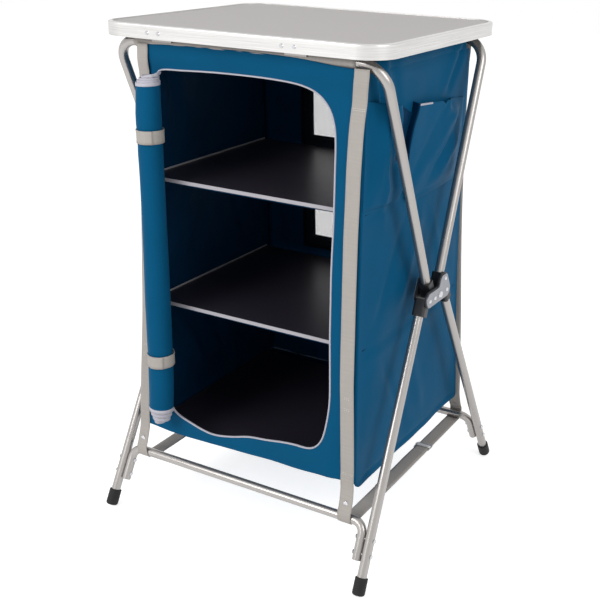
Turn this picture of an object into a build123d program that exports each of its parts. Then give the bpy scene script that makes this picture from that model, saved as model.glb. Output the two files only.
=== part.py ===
from build123d import *
import os
from math import cos, radians, sin, tan

os.makedirs("parts", exist_ok=True)

# Driving dimensions in millimetres: x across, the front towards -y, z up from the floor

# Worktop
WORKTOP_WIDTH = 600
WORKTOP_DEPTH = 500
WORKTOP_TOP = 1010
WORKTOP_CORNER = 55
BOARD_THICK = 5
TRIM_HEIGHT = 25
TRIM_WALL = 1.6
TRIM_SKIN = 1.5
TRIM_LIP = 8
TRIM_LEDGE = 12
TRIM_FLANGE = 6.5
TRIM_ROUND = 2.4
SADDLE_X = (-165.5, 122)
SADDLE_WIDTH = 44
SADDLE_PAD = 13.1
SADDLE_CHEEK = 4
SADDLE_CHEEK_DROP = 7
FASCIA_RIVET_PITCH = 25
FASCIA_RIVET_DROP = 14

# Frame tubes
TUBE_D = 19
TUBE_WALL = 1.2
CABINET_HALF = 249
TUBE_OUTSET = 36
TUBE_INSET = 38.5
TOP_TUBE_DROP = 35
TOP_TUBE_X = CABINET_HALF + TUBE_OUTSET
TOP_TUBE_Y = WORKTOP_DEPTH / 2 - TUBE_INSET
TOP_TUBE_Z = WORKTOP_TOP - TOP_TUBE_DROP
TOP_BEND = 48
HUB_OUTSET = 4
HUB_X = TOP_TUBE_X + HUB_OUTSET
HUB_HEIGHT = 510
UPPER_END_Y = 19.6
UPPER_END_RISE = 7
LEG_END_Y = 46
LEG_END_DROP = 5
FOOT_OUTSET = 15
FOOT_X = HUB_X + FOOT_OUTSET
FOOT_Y = 308
CROSSBAR_D = 18
CROSSBAR_Z = 120
CROSSBAR_BEND = 22
CROSSBAR_END_Z = 58

# Foot caps
CAP_D = 25
CAP_LENGTH = 34
CAP_END = 4
CAP_ROUND = 5
CAP_RIM = 1.5
CAP_SOLE_Z = 3.5

# Hub: each frame has a plastic link and a steel plate on each side
LINK_OFFSET = 12.5
LINK_THICK = 3.5
LINK_MARGIN = 2.5
PLATE_THICK = 2.5
PLATE_LONG_Y = 45
PLATE_SHORT_Y = 30
PLATE_AXIS_RISE = 1.5
PLATE_END_R = 14.5
ARM_ROOT_Y = -12
ARM_TOP_Y = 5
ARM_TOP = 36
ARM_LEAN = 27
ARM_ROUND = 9.5
NOTCH_R = 8
SOCKET_LENGTH = 28
SOCKET_WIDTH = 23
SOCKET_ROUND = 5
SOCKET_CAP = 6
SOCKET_FAR = 11.5
SOCKET_WELD = 1.4
PIVOT_D = 8
PIVOT_HEAD_D = 14
PIVOT_HEAD = 2.2
SPACER_D = 13
HUB_RIVET_D = 4
HUB_RIVET_SPOTS = ((-46, 0), (-24, 0), (30, 1), (21, 27))

# Rivets
RIVET_D = 5
RIVET_HEAD_D = 9
RIVET_HEAD = 2
FASCIA_RIVET_D = 4
SMALL_HEAD_D = 8
SMALL_HEAD = 1.6
HEAD_TAPER = 25
CROSSBAR_RIVET_Z = (96, 70)

# Fabric cabinet
FABRIC = 1.6
CABINET_BOTTOM = 172
SIDE_TOP_DROP = 1
SIDE_NOTCH_DROP = 19
SIDE_NOTCH_GAP = 14.5
SIDE_TOP = TOP_TUBE_Z - SIDE_TOP_DROP
SIDE_NOTCH_Z = TOP_TUBE_Z - SIDE_NOTCH_DROP
SIDE_NOTCH_Y = TOP_TUBE_Y - SIDE_NOTCH_GAP
PANEL_OUTSET = 2.5
PANEL_FLARE = 20
PANEL_TOP_Y = TOP_TUBE_Y + PANEL_OUTSET
PANEL_BOTTOM_Y = PANEL_TOP_Y + PANEL_FLARE
SLEEVE_WALL = 1.2
SLEEVE_END_GAP = 2
SLEEVE_HALF = TOP_TUBE_X - TOP_BEND - SLEEVE_END_GAP
DOOR_LEFT = -195
DOOR_RIGHT_TOP = 198
DOOR_RIGHT_BOTTOM = 192
DOOR_TOP_DROP = 40
DOOR_TOP = TOP_TUBE_Z - DOOR_TOP_DROP
DOOR_BOTTOM_RIGHT = 221
DOOR_BOTTOM_LEFT = 200
DOOR_CORNER = 62
PIPING = 4
ROLL_D = 46
ROLL_X = -190
ROLL_BOTTOM = 197
ROLL_TOP_DROP = 20
ROLL_TOP = DOOR_TOP - ROLL_TOP_DROP
UPPER_TIE_DROP = 107
LOWER_TIE_RISE = 145
TIE_Z = (ROLL_TOP - UPPER_TIE_DROP, ROLL_BOTTOM + LOWER_TIE_RISE)
TIE_WIDTH = 25
TIE_THICK = 1.2
WINDOW_HALF = 119
WINDOW_CORNER = 8
BORDER_WIDTH = 32
BORDER_THICK = 1
MESH_THICK = 0.8
MESH_LAP = 10

# Side pockets on the right side panel, as corners (y, drop below the top tubes)
POCKET_FRONT_GAP = 14
POCKET_REAR_GAP = 18
POCKET_FRONT_Y = PANEL_TOP_Y - POCKET_FRONT_GAP
POCKET_REAR_Y = PANEL_TOP_Y - POCKET_REAR_GAP
REAR_POCKET = ((-6, 96), (POCKET_REAR_Y, 112), (POCKET_REAR_Y, 275), (-20, 283), (-35, 198))
FRONT_POCKET = ((-POCKET_FRONT_Y, 91), (-44, 103), (-70, 260), (-POCKET_FRONT_Y, 253))
POCKET_DEPTH = 14

# Shelves
BOARD_SIDE_GAP = 8
BOARD_END_GAP = 11
BOARD_HALF_X = CABINET_HALF - BOARD_SIDE_GAP
BOARD_HALF_Y = PANEL_TOP_Y - BOARD_END_GAP
SHELF_THICK = 4
BOTTOM_SHELF_RISE = 9
MIDDLE_SHELF_DROP = 519
TOP_SHELF_DROP = 261
SHELF_TOPS = {
    "bottom": CABINET_BOTTOM + BOTTOM_SHELF_RISE,
    "middle": TOP_TUBE_Z - MIDDLE_SHELF_DROP,
    "top": TOP_TUBE_Z - TOP_SHELF_DROP,
}
WINDOW_HEIGHT = 130
WINDOW_RISES = {"middle": 42, "top": 21}
STRIP_THICK = 1.5
STRIP_STAND = 3

# Webbing
STRAP_INSET = 11
STRAP_X = CABINET_HALF - STRAP_INSET
STRAP_WIDTH = 30
STRAP_THICK = 1.5
STRAP_TOP_RISE = 9
STRAP_TOP = TOP_TUBE_Z + STRAP_TOP_RISE
STRAP_FOLD = 4
STUD_D = 10
STUD_THICK = 2
STUD_Z = 150
BUCKLE_Y = 85
BUCKLE_LENGTH = 38
BUCKLE_MARGIN = 3.5
BUCKLE_WALL = 2
BUCKLE_ROUND = 3

# Clearances
FIT = 0.05
SEAT = 0.2
SOFT_GAP = 0.3
TIE_GAP = 0.5

# Sides of the cupboard
LEFT = -1
RIGHT = 1
FRONT = -1
REAR = 1
SIDE_NAMES = {LEFT: "left", RIGHT: "right"}
END_NAMES = {FRONT: "front", REAR: "rear"}

# Layers of the hub: frame A holds the front top tube and turns inside frame B
INNER = -1
OUTER = 1
LAYER_NAMES = {INNER: "inner", OUTER: "outer"}

TUBE_R = TUBE_D / 2
CROSSBAR_R = CROSSBAR_D / 2
TRIM_BOTTOM = WORKTOP_TOP - TRIM_HEIGHT
BOARD_TOP = WORKTOP_TOP - TRIM_SKIN
BOARD_BOTTOM = BOARD_TOP - BOARD_THICK
LEDGE_BOTTOM = BOARD_BOTTOM - TRIM_SKIN
SLEEVE_BORE = TUBE_R + SOFT_GAP
SLEEVE_R = SLEEVE_BORE + SLEEVE_WALL
PANEL_TOP = TOP_TUBE_Z - SLEEVE_R - SOFT_GAP
LEG_TOP_Z = HUB_HEIGHT - LEG_END_DROP
UPPER_END_Z = HUB_HEIGHT + UPPER_END_RISE
LEG_TO_CROSSBAR = TUBE_R + CROSSBAR_R + SOFT_GAP
WINDOW_SILLS = [SHELF_TOPS[shelf] + rise for shelf, rise in WINDOW_RISES.items()]
WINDOW_SPANS = [(sill, sill + WINDOW_HEIGHT) for sill in WINDOW_SILLS]


def leg_point(z):
    """Point of a lower leg's axis at a height, on the right and towards the rear."""
    share = (LEG_TOP_Z - z) / LEG_TOP_Z
    x = HUB_X + share * (FOOT_X - HUB_X)
    y = LEG_END_Y + share * (FOOT_Y - LEG_END_Y)
    return x, y, z


def leg_plane(end, hand):
    """Plane across a lower leg at the sole of its cap, facing up the leg."""
    low = leg_point(CAP_SOLE_Z)
    high = leg_point(LEG_TOP_Z)
    up = (hand * (high[0] - low[0]), end * (high[1] - low[1]), high[2] - low[2])
    return Plane(origin=(hand * low[0], end * low[1], low[2]), x_dir=(1, 0, 0), z_dir=up)


def leg_end_plane(end, hand):
    """Plane across a lower leg at its top end, facing down the leg."""
    low = leg_point(CAP_SOLE_Z)
    high = leg_point(LEG_TOP_Z)
    down = (hand * (low[0] - high[0]), end * (low[1] - high[1]), low[2] - high[2])
    return Plane(origin=(hand * high[0], end * high[1], high[2]), x_dir=(1, 0, 0), z_dir=down)


def upper_end_plane(end, hand):
    """Plane across a top tube at its hub end, facing up the tube."""
    rise = (hand * (TOP_TUBE_X - HUB_X), end * (TOP_TUBE_Y - UPPER_END_Y), TOP_TUBE_Z - UPPER_END_Z)
    origin = (hand * HUB_X, end * UPPER_END_Y, UPPER_END_Z)
    return Plane(origin=origin, x_dir=(1, 0, 0), z_dir=rise)


def panel_y(z):
    """Distance from the middle to the outer face of the front or back panel at a height."""
    spread = (PANEL_BOTTOM_Y - PANEL_TOP_Y) / (PANEL_TOP - CABINET_BOTTOM)
    return PANEL_TOP_Y + (PANEL_TOP - z) * spread


def panel_strip(end, low, high, inner, outer):
    """Corners (y, z) of a strip along a leaning panel, between two distances from its outer face."""
    return (
        (end * (panel_y(low) + inner), low),
        (end * (panel_y(low) + outer), low),
        (end * (panel_y(high) + outer), high),
        (end * (panel_y(high) + inner), high),
    )


def door_outline(grow=0):
    """Door opening seen from the front, in x and z."""
    with BuildSketch() as outline:
        with BuildLine():
            FilletPolyline(
                (DOOR_LEFT, DOOR_TOP),
                (DOOR_RIGHT_TOP, DOOR_TOP),
                (DOOR_RIGHT_BOTTOM, DOOR_BOTTOM_RIGHT),
                (DOOR_LEFT, DOOR_BOTTOM_LEFT),
                radius=DOOR_CORNER,
                close=True,
            )
        make_face()
        if grow:
            offset(amount=grow)
    return outline.sketch


def hub_outline(turn, grow=0):
    """Crescent of a hub plate about its pivot, in y and z; turn is the end that its upper tube leans to."""
    lean = radians(ARM_LEAN)
    edge_y = PLATE_SHORT_Y + PLATE_END_R * cos(lean)
    edge_z = PLATE_AXIS_RISE + PLATE_END_R * sin(lean)
    tip_y = edge_y - (ARM_TOP - edge_z) * tan(lean)
    arm = (
        (ARM_ROOT_Y, PLATE_AXIS_RISE),
        (ARM_TOP_Y, ARM_TOP),
        (tip_y, ARM_TOP),
        (edge_y, edge_z),
        (PLATE_SHORT_Y, PLATE_AXIS_RISE),
    )
    with BuildSketch() as outline:
        Polygon(*[(turn * y, z) for y, z in arm], align=None)
        fillet(outline.vertices().group_by(Axis.Y)[-1], ARM_ROUND)
        with Locations((turn * (PLATE_SHORT_Y - PLATE_LONG_Y) / 2, PLATE_AXIS_RISE)):
            SlotCenterToCenter(PLATE_SHORT_Y + PLATE_LONG_Y, 2 * PLATE_END_R)
        corner = (turn * (ARM_ROOT_Y + ARM_TOP_Y) / 2, PLATE_AXIS_RISE + PLATE_END_R, 0)
        fillet(outline.vertices().sort_by_distance(corner)[0], NOTCH_R)
        if grow:
            offset(amount=grow)
    return outline.sketch


def keep(piece, name):
    """Label a finished piece and write it."""
    piece.part.label = name
    export_step(piece.part, f"parts/{name}.step")


# Worktop board, held in the trim between the ledge and the lip
with BuildPart() as worktop_board:
    inset = TRIM_WALL + SOFT_GAP
    with BuildSketch(Plane.XY.offset(BOARD_BOTTOM)):
        RectangleRounded(WORKTOP_WIDTH - 2 * inset, WORKTOP_DEPTH - 2 * inset, WORKTOP_CORNER - inset)
    extrude(amount=BOARD_THICK)
keep(worktop_board, "worktop_board")

# Trim profile, as the opening that each level leaves inside the wall
TRIM_LEVELS = (
    (TRIM_BOTTOM, TRIM_BOTTOM + TRIM_SKIN, TRIM_FLANGE),
    (TRIM_BOTTOM + TRIM_SKIN, LEDGE_BOTTOM, TRIM_WALL),
    (LEDGE_BOTTOM, BOARD_BOTTOM, TRIM_LEDGE),
    (BOARD_BOTTOM, BOARD_TOP, TRIM_WALL),
    (BOARD_TOP, WORKTOP_TOP, TRIM_LIP),
)
with BuildPart() as worktop_edge_trim:
    with BuildSketch(Plane.XY.offset(TRIM_BOTTOM)):
        RectangleRounded(WORKTOP_WIDTH, WORKTOP_DEPTH, WORKTOP_CORNER)
    extrude(amount=TRIM_HEIGHT)
    fillet(worktop_edge_trim.edges().group_by(Axis.Z)[-1], TRIM_ROUND)
    for low, high, inset in TRIM_LEVELS:
        with BuildSketch(Plane.XY.offset(low)):
            RectangleRounded(WORKTOP_WIDTH - 2 * inset, WORKTOP_DEPTH - 2 * inset, WORKTOP_CORNER - inset)
        extrude(amount=high - low, mode=Mode.SUBTRACT)
    for end in (FRONT, REAR):
        with BuildSketch(Plane.XZ.offset(-end * WORKTOP_DEPTH / 2)):
            for x in SADDLE_X:
                with Locations((x, WORKTOP_TOP - FASCIA_RIVET_DROP)):
                    with GridLocations(FASCIA_RIVET_PITCH, 0, 2, 1):
                        Circle(FASCIA_RIVET_D / 2 + FIT)
        extrude(amount=end * 2 * TRIM_WALL, mode=Mode.SUBTRACT)
keep(worktop_edge_trim, "worktop_edge_trim")

# Saddles under the ledge, resting on the sleeved top tubes
SADDLE_OUT_Y = WORKTOP_DEPTH / 2 - TRIM_WALL
SADDLE_IN_Y = TOP_TUBE_Y - SADDLE_PAD
CRADLE_R = SLEEVE_R + SOFT_GAP
CHEEK_Y = TOP_TUBE_Y + CRADLE_R
RIVET_REACH = 8
with BuildPart() as worktop_saddles:
    for end in (FRONT, REAR):
        for x in SADDLE_X:
            with BuildSketch(Plane.YZ.offset(x - SADDLE_WIDTH / 2)):
                with BuildLine():
                    Polyline(
                        (end * SADDLE_OUT_Y, LEDGE_BOTTOM),
                        (end * SADDLE_OUT_Y, TRIM_BOTTOM + TRIM_SKIN),
                        (end * (CHEEK_Y + SADDLE_CHEEK), TRIM_BOTTOM + TRIM_SKIN),
                        (end * (CHEEK_Y + SADDLE_CHEEK), TRIM_BOTTOM - SADDLE_CHEEK_DROP),
                        (end * CHEEK_Y, TRIM_BOTTOM - SADDLE_CHEEK_DROP),
                        (end * CHEEK_Y, TOP_TUBE_Z + CRADLE_R),
                        (end * SADDLE_IN_Y, TOP_TUBE_Z + CRADLE_R),
                        (end * SADDLE_IN_Y, LEDGE_BOTTOM),
                        close=True,
                    )
                make_face()
            extrude(amount=SADDLE_WIDTH)
        with BuildSketch(Plane.XZ.offset(-end * SADDLE_OUT_Y)):
            for x in SADDLE_X:
                with Locations((x, WORKTOP_TOP - FASCIA_RIVET_DROP)):
                    with GridLocations(FASCIA_RIVET_PITCH, 0, 2, 1):
                        Circle(FASCIA_RIVET_D / 2 + FIT)
        extrude(amount=end * RIVET_REACH, mode=Mode.SUBTRACT)
keep(worktop_saddles, "worktop_saddles")

# Fascia rivets, from outside the trim into the saddles
with BuildPart() as worktop_rivets:
    for end in (FRONT, REAR):
        for x in SADDLE_X:
            for side in (LEFT, RIGHT):
                spot = (x + side * FASCIA_RIVET_PITCH / 2, end * WORKTOP_DEPTH / 2, WORKTOP_TOP - FASCIA_RIVET_DROP)
                outward = Plane(origin=spot, z_dir=(0, end, 0))
                with BuildSketch(outward):
                    Circle(FASCIA_RIVET_D / 2)
                extrude(amount=-(TRIM_WALL + RIVET_REACH - SOFT_GAP))
                with BuildSketch(outward):
                    Circle(SMALL_HEAD_D / 2)
                extrude(amount=SMALL_HEAD, taper=HEAD_TAPER)
keep(worktop_rivets, "worktop_rivets")


def top_tube(end):
    """U tube: up from the left hub, across under the worktop and down to the right hub."""
    with BuildPart() as tube:
        with BuildLine() as path:
            FilletPolyline(
                (-HUB_X, end * UPPER_END_Y, UPPER_END_Z),
                (-TOP_TUBE_X, end * TOP_TUBE_Y, TOP_TUBE_Z),
                (TOP_TUBE_X, end * TOP_TUBE_Y, TOP_TUBE_Z),
                (HUB_X, end * UPPER_END_Y, UPPER_END_Z),
                radius=TOP_BEND,
            )
        with BuildSketch(Plane(origin=path.wire() @ 0, z_dir=path.wire() % 0)):
            Circle(TUBE_R)
            Circle(TUBE_R - TUBE_WALL, mode=Mode.SUBTRACT)
        sweep()
    return tube


def lower_leg(end, hand):
    """Straight tube from the hub to the foot cap, drilled for the crossbar rivets."""
    sole = leg_plane(end, hand)
    length = (Vector(leg_end_plane(end, hand).origin) - Vector(sole.origin)).length - CAP_END
    with BuildPart() as leg:
        with BuildSketch(sole.offset(CAP_END)):
            Circle(TUBE_R)
            Circle(TUBE_R - TUBE_WALL, mode=Mode.SUBTRACT)
        extrude(amount=length)
        for z in CROSSBAR_RIVET_Z:
            x, y, _ = leg_point(z)
            with BuildSketch(Plane.YZ.offset(hand * x)):
                with Locations((end * y, z)):
                    Circle(RIVET_D / 2 + FIT)
            extrude(amount=TUBE_D, both=True, mode=Mode.SUBTRACT)
    return leg


def foot_cap(end, hand):
    """Closed rubber cap on a leg, with a flat where it stands on the floor."""
    sole = leg_plane(end, hand)
    with BuildPart() as cap:
        with BuildSketch(sole):
            Circle(CAP_D / 2)
        extrude(amount=CAP_LENGTH)
        rims = cap.edges().filter_by(GeomType.CIRCLE).sort_by(Axis.Z)
        fillet(rims[0], CAP_ROUND)
        fillet(rims[-1], CAP_RIM)
        with BuildSketch(sole.offset(CAP_END)):
            Circle(TUBE_R + FIT)
        extrude(amount=CAP_LENGTH, mode=Mode.SUBTRACT)
        split(bisect_by=Plane.XY, keep=Keep.TOP)
    return cap


def crossbar(end):
    """Spreader bar: straight between the legs, its bent ends run down inside them."""
    low_x, low_y, _ = leg_point(CROSSBAR_END_Z)
    bend_x, bend_y, _ = leg_point(CROSSBAR_Z)
    with BuildPart() as bar:
        with BuildLine() as path:
            FilletPolyline(
                (LEG_TO_CROSSBAR - low_x, end * low_y, CROSSBAR_END_Z),
                (LEG_TO_CROSSBAR - bend_x, end * bend_y, CROSSBAR_Z),
                (bend_x - LEG_TO_CROSSBAR, end * bend_y, CROSSBAR_Z),
                (low_x - LEG_TO_CROSSBAR, end * low_y, CROSSBAR_END_Z),
                radius=CROSSBAR_BEND,
            )
        with BuildSketch(Plane(origin=path.wire() @ 0, z_dir=path.wire() % 0)):
            Circle(CROSSBAR_R)
            Circle(CROSSBAR_R - TUBE_WALL, mode=Mode.SUBTRACT)
        sweep()
        for hand in (LEFT, RIGHT):
            for z in CROSSBAR_RIVET_Z:
                x, y, _ = leg_point(z)
                with BuildSketch(Plane.YZ.offset(hand * (x - LEG_TO_CROSSBAR))):
                    with Locations((end * y, z)):
                        Circle(RIVET_D / 2 + FIT)
                extrude(amount=CROSSBAR_D, both=True, mode=Mode.SUBTRACT)
    return bar


def crossbar_rivets(end):
    """Rivets through the legs and the crossbar's ends, headed on both sides."""
    with BuildPart() as rivets:
        for hand in (LEFT, RIGHT):
            for z in CROSSBAR_RIVET_Z:
                x, y, _ = leg_point(z)
                outer = x + TUBE_R + SEAT
                inner = x - LEG_TO_CROSSBAR - CROSSBAR_R - SEAT
                outward = Plane(origin=(hand * outer, end * y, z), z_dir=(hand, 0, 0))
                inward = Plane(origin=(hand * inner, end * y, z), z_dir=(-hand, 0, 0))
                with BuildSketch(outward):
                    Circle(RIVET_D / 2)
                extrude(amount=inner - outer)
                with BuildSketch(outward, inward):
                    Circle(RIVET_HEAD_D / 2)
                extrude(amount=RIVET_HEAD, taper=HEAD_TAPER)
    return rivets


def hub_layer(hand, layer, depth):
    """Plane across a hub at a depth of one frame's link, facing away from the tubes' middle."""
    out = hand * layer
    x = hand * HUB_X + out * (LINK_OFFSET + depth)
    return Plane(origin=(x, 0, HUB_HEIGHT), x_dir=(0, 1, 0), z_dir=(1, 0, 0)), out


def hub_link(hand, layer):
    """Plastic link with a closed socket for a top tube and one for the opposite lower leg."""
    turn = layer
    base, out = hub_layer(hand, layer, 0)
    ends = (upper_end_plane(turn, hand), leg_end_plane(-turn, hand))
    reach = LINK_OFFSET + SOCKET_WELD
    with BuildPart() as link:
        with BuildSketch(base):
            add(hub_outline(turn, LINK_MARGIN))
        extrude(amount=out * LINK_THICK)
        for plane in ends:
            with BuildSketch(plane.offset(-SOCKET_CAP)):
                with Locations((out * (reach - SOCKET_FAR) / 2, 0)):
                    RectangleRounded(reach + SOCKET_FAR, SOCKET_WIDTH, SOCKET_ROUND)
            extrude(amount=SOCKET_CAP + SOCKET_LENGTH)
        for plane in ends:
            with BuildSketch(plane):
                Circle(TUBE_R + FIT)
            extrude(amount=2 * SOCKET_LENGTH, mode=Mode.SUBTRACT)
        with BuildSketch(base):
            Circle(PIVOT_D / 2 + FIT)
            with Locations(*[(turn * y, z) for y, z in HUB_RIVET_SPOTS]):
                Circle(HUB_RIVET_D / 2 + FIT)
        extrude(amount=out * LINK_THICK, mode=Mode.SUBTRACT)
    return link


def hub_plate(hand, layer):
    """Steel crescent on the outside of a link."""
    turn = layer
    seat, out = hub_layer(hand, layer, LINK_THICK)
    with BuildPart() as plate:
        with BuildSketch(seat):
            add(hub_outline(turn))
            Circle(PIVOT_D / 2 + FIT, mode=Mode.SUBTRACT)
            with Locations(*[(turn * y, z) for y, z in HUB_RIVET_SPOTS]):
                Circle(HUB_RIVET_D / 2 + FIT, mode=Mode.SUBTRACT)
        extrude(amount=out * PLATE_THICK)
    return plate


def hub_rivets(layer):
    """Rivets that hold one frame's plates to its links, on both sides."""
    with BuildPart() as rivets:
        for hand in (LEFT, RIGHT):
            face, out = hub_layer(hand, layer, LINK_THICK + PLATE_THICK)
            with BuildSketch(face):
                with Locations(*[(layer * y, z) for y, z in HUB_RIVET_SPOTS]):
                    Circle(HUB_RIVET_D / 2)
            extrude(amount=-out * (LINK_THICK + PLATE_THICK))
            with BuildSketch(face):
                with Locations(*[(layer * y, z) for y, z in HUB_RIVET_SPOTS]):
                    Circle(SMALL_HEAD_D / 2)
            extrude(amount=out * SMALL_HEAD, taper=HEAD_TAPER)
    return rivets


for end in (FRONT, REAR):
    keep(top_tube(end), f"{END_NAMES[end]}_top_tube")
    keep(crossbar(end), f"{END_NAMES[end]}_crossbar")
    keep(crossbar_rivets(end), f"{END_NAMES[end]}_crossbar_rivets")
    for hand in (LEFT, RIGHT):
        keep(lower_leg(end, hand), f"{END_NAMES[end]}_{SIDE_NAMES[hand]}_leg")
        keep(foot_cap(end, hand), f"{END_NAMES[end]}_{SIDE_NAMES[hand]}_foot_cap")
for layer in (INNER, OUTER):
    keep(hub_rivets(layer), f"{LAYER_NAMES[layer]}_hub_rivets")
    for hand in (LEFT, RIGHT):
        keep(hub_link(hand, layer), f"{SIDE_NAMES[hand]}_{LAYER_NAMES[layer]}_hub_link")
        keep(hub_plate(hand, layer), f"{SIDE_NAMES[hand]}_{LAYER_NAMES[layer]}_hub_plate")

# Pivot pins through both links of each side
STACK = LINK_OFFSET + LINK_THICK + PLATE_THICK + SEAT
with BuildPart() as hub_pivot_pins:
    for hand in (LEFT, RIGHT):
        outer_face = Plane(origin=(hand * (HUB_X + STACK), 0, HUB_HEIGHT), z_dir=(hand, 0, 0))
        inner_face = Plane(origin=(hand * (HUB_X - STACK), 0, HUB_HEIGHT), z_dir=(-hand, 0, 0))
        with BuildSketch(outer_face):
            Circle(PIVOT_D / 2)
        extrude(amount=-2 * STACK)
        with BuildSketch(outer_face, inner_face):
            Circle(PIVOT_HEAD_D / 2)
        extrude(amount=PIVOT_HEAD, taper=HEAD_TAPER)
keep(hub_pivot_pins, "hub_pivot_pins")

# Spacers that keep the two links of a side apart
with BuildPart() as hub_spacers:
    for hand in (LEFT, RIGHT):
        with BuildSketch(Plane(origin=(hand * HUB_X, 0, HUB_HEIGHT), z_dir=(hand, 0, 0))):
            Circle(SPACER_D / 2)
            Circle(PIVOT_D / 2 + FIT, mode=Mode.SUBTRACT)
        extrude(amount=LINK_OFFSET - SEAT, both=True)
keep(hub_spacers, "hub_spacers")


def side_panel(hand):
    """Fabric side, notched at its top corners where the tubes leave the sleeves."""
    bottom_y = panel_y(CABINET_BOTTOM) - FABRIC - SOFT_GAP
    notch_y = panel_y(SIDE_NOTCH_Z) - FABRIC - SOFT_GAP
    with BuildPart() as panel:
        with BuildSketch(Plane.YZ.offset(hand * CABINET_HALF)):
            with BuildLine():
                Polyline(
                    (-bottom_y, CABINET_BOTTOM),
                    (-notch_y, SIDE_NOTCH_Z),
                    (-SIDE_NOTCH_Y, SIDE_NOTCH_Z),
                    (-SIDE_NOTCH_Y, SIDE_TOP),
                    (SIDE_NOTCH_Y, SIDE_TOP),
                    (SIDE_NOTCH_Y, SIDE_NOTCH_Z),
                    (notch_y, SIDE_NOTCH_Z),
                    (bottom_y, CABINET_BOTTOM),
                    close=True,
                )
            make_face()
        extrude(amount=hand * FABRIC)
    return panel


def top_sleeve(end):
    """Fabric sleeve round a top tube, which carries the front or back panel."""
    with BuildPart() as sleeve:
        with BuildSketch(Plane.YZ):
            with Locations((end * TOP_TUBE_Y, TOP_TUBE_Z)):
                Circle(SLEEVE_R)
                Circle(SLEEVE_BORE, mode=Mode.SUBTRACT)
        extrude(amount=SLEEVE_HALF, both=True)
    return sleeve


for hand in (LEFT, RIGHT):
    keep(side_panel(hand), f"{SIDE_NAMES[hand]}_side_panel")
for end in (FRONT, REAR):
    keep(top_sleeve(end), f"{END_NAMES[end]}_top_sleeve")

# Front panel with the door opening, its top corners cut back from the tube's bends
PANEL_HALF = CABINET_HALF + FABRIC
with BuildPart() as front_panel:
    with BuildSketch(Plane.YZ):
        Polygon(*panel_strip(FRONT, CABINET_BOTTOM, SIDE_NOTCH_Z, -FABRIC, 0), align=None)
    extrude(amount=PANEL_HALF, both=True)
    with BuildSketch(Plane.YZ):
        Polygon(*panel_strip(FRONT, SIDE_NOTCH_Z, PANEL_TOP, -FABRIC, 0), align=None)
    extrude(amount=SLEEVE_HALF, both=True)
    with BuildSketch(Plane.XZ):
        add(door_outline())
    extrude(amount=WORKTOP_DEPTH, mode=Mode.SUBTRACT)
keep(front_panel, "front_panel")

# Piping inside the edge of the door opening
with BuildPart() as door_piping:
    with BuildSketch(Plane.YZ):
        Polygon(*panel_strip(FRONT, CABINET_BOTTOM, PANEL_TOP, -PIPING, SOFT_GAP), align=None)
    extrude(amount=PANEL_HALF, both=True)
    with BuildSketch(Plane.XZ):
        add(door_outline(-SOFT_GAP))
        add(door_outline(-SOFT_GAP - PIPING), mode=Mode.SUBTRACT)
    extrude(amount=WORKTOP_DEPTH, mode=Mode.INTERSECT)
keep(door_piping, "door_piping")

# Back panel with two window openings
with BuildPart() as back_panel:
    with BuildSketch(Plane.YZ):
        Polygon(*panel_strip(REAR, CABINET_BOTTOM, SIDE_NOTCH_Z, -FABRIC, 0), align=None)
    extrude(amount=PANEL_HALF, both=True)
    with BuildSketch(Plane.YZ):
        Polygon(*panel_strip(REAR, SIDE_NOTCH_Z, PANEL_TOP, -FABRIC, 0), align=None)
    extrude(amount=SLEEVE_HALF, both=True)
    with BuildSketch(Plane.XZ):
        for low, high in WINDOW_SPANS:
            with Locations((0, (low + high) / 2)):
                RectangleRounded(2 * WINDOW_HALF, high - low, WINDOW_CORNER)
    extrude(amount=-WORKTOP_DEPTH, mode=Mode.SUBTRACT)
keep(back_panel, "back_panel")

# Window borders, sewn to the inside of the back panel
with BuildPart() as window_borders:
    with BuildSketch(Plane.YZ):
        Polygon(*panel_strip(REAR, CABINET_BOTTOM, PANEL_TOP, -FABRIC - BORDER_THICK, -FABRIC), align=None)
    extrude(amount=PANEL_HALF, both=True)
    with BuildSketch(Plane.XZ):
        for low, high in WINDOW_SPANS:
            with Locations((0, (low + high) / 2)):
                outer_w = 2 * (WINDOW_HALF + BORDER_WIDTH)
                outer_h = high - low + 2 * BORDER_WIDTH
                RectangleRounded(outer_w, outer_h, WINDOW_CORNER)
                RectangleRounded(2 * WINDOW_HALF, high - low, WINDOW_CORNER, mode=Mode.SUBTRACT)
    extrude(amount=-WORKTOP_DEPTH, mode=Mode.INTERSECT)
keep(window_borders, "window_borders")

# Meshes behind the borders
MESH_FACE = -FABRIC - BORDER_THICK
with BuildPart() as window_meshes:
    with BuildSketch(Plane.YZ):
        Polygon(*panel_strip(REAR, CABINET_BOTTOM, PANEL_TOP, MESH_FACE - MESH_THICK, MESH_FACE), align=None)
    extrude(amount=PANEL_HALF, both=True)
    with BuildSketch(Plane.XZ):
        for low, high in WINDOW_SPANS:
            with Locations((0, (low + high) / 2)):
                RectangleRounded(2 * (WINDOW_HALF + MESH_LAP), high - low + 2 * MESH_LAP, WINDOW_CORNER)
    extrude(amount=-WORKTOP_DEPTH, mode=Mode.INTERSECT)
keep(window_meshes, "window_meshes")


def roll_plane(z):
    """Plane across the rolled door at a height, facing up along the front panel."""
    y = panel_y(z) + TIE_GAP + TIE_THICK + SOFT_GAP + ROLL_D / 2
    lean = panel_y(ROLL_BOTTOM) - panel_y(ROLL_TOP)
    return Plane(origin=(ROLL_X, FRONT * y, z), x_dir=(1, 0, 0), z_dir=(0, lean, ROLL_TOP - ROLL_BOTTOM))


# Rolled door beside the opening and the two bands that tie it
with BuildPart() as door_roll:
    with BuildSketch(roll_plane(ROLL_BOTTOM)):
        Circle(ROLL_D / 2)
    extrude(amount=ROLL_TOP - ROLL_BOTTOM)
keep(door_roll, "door_roll")

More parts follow.
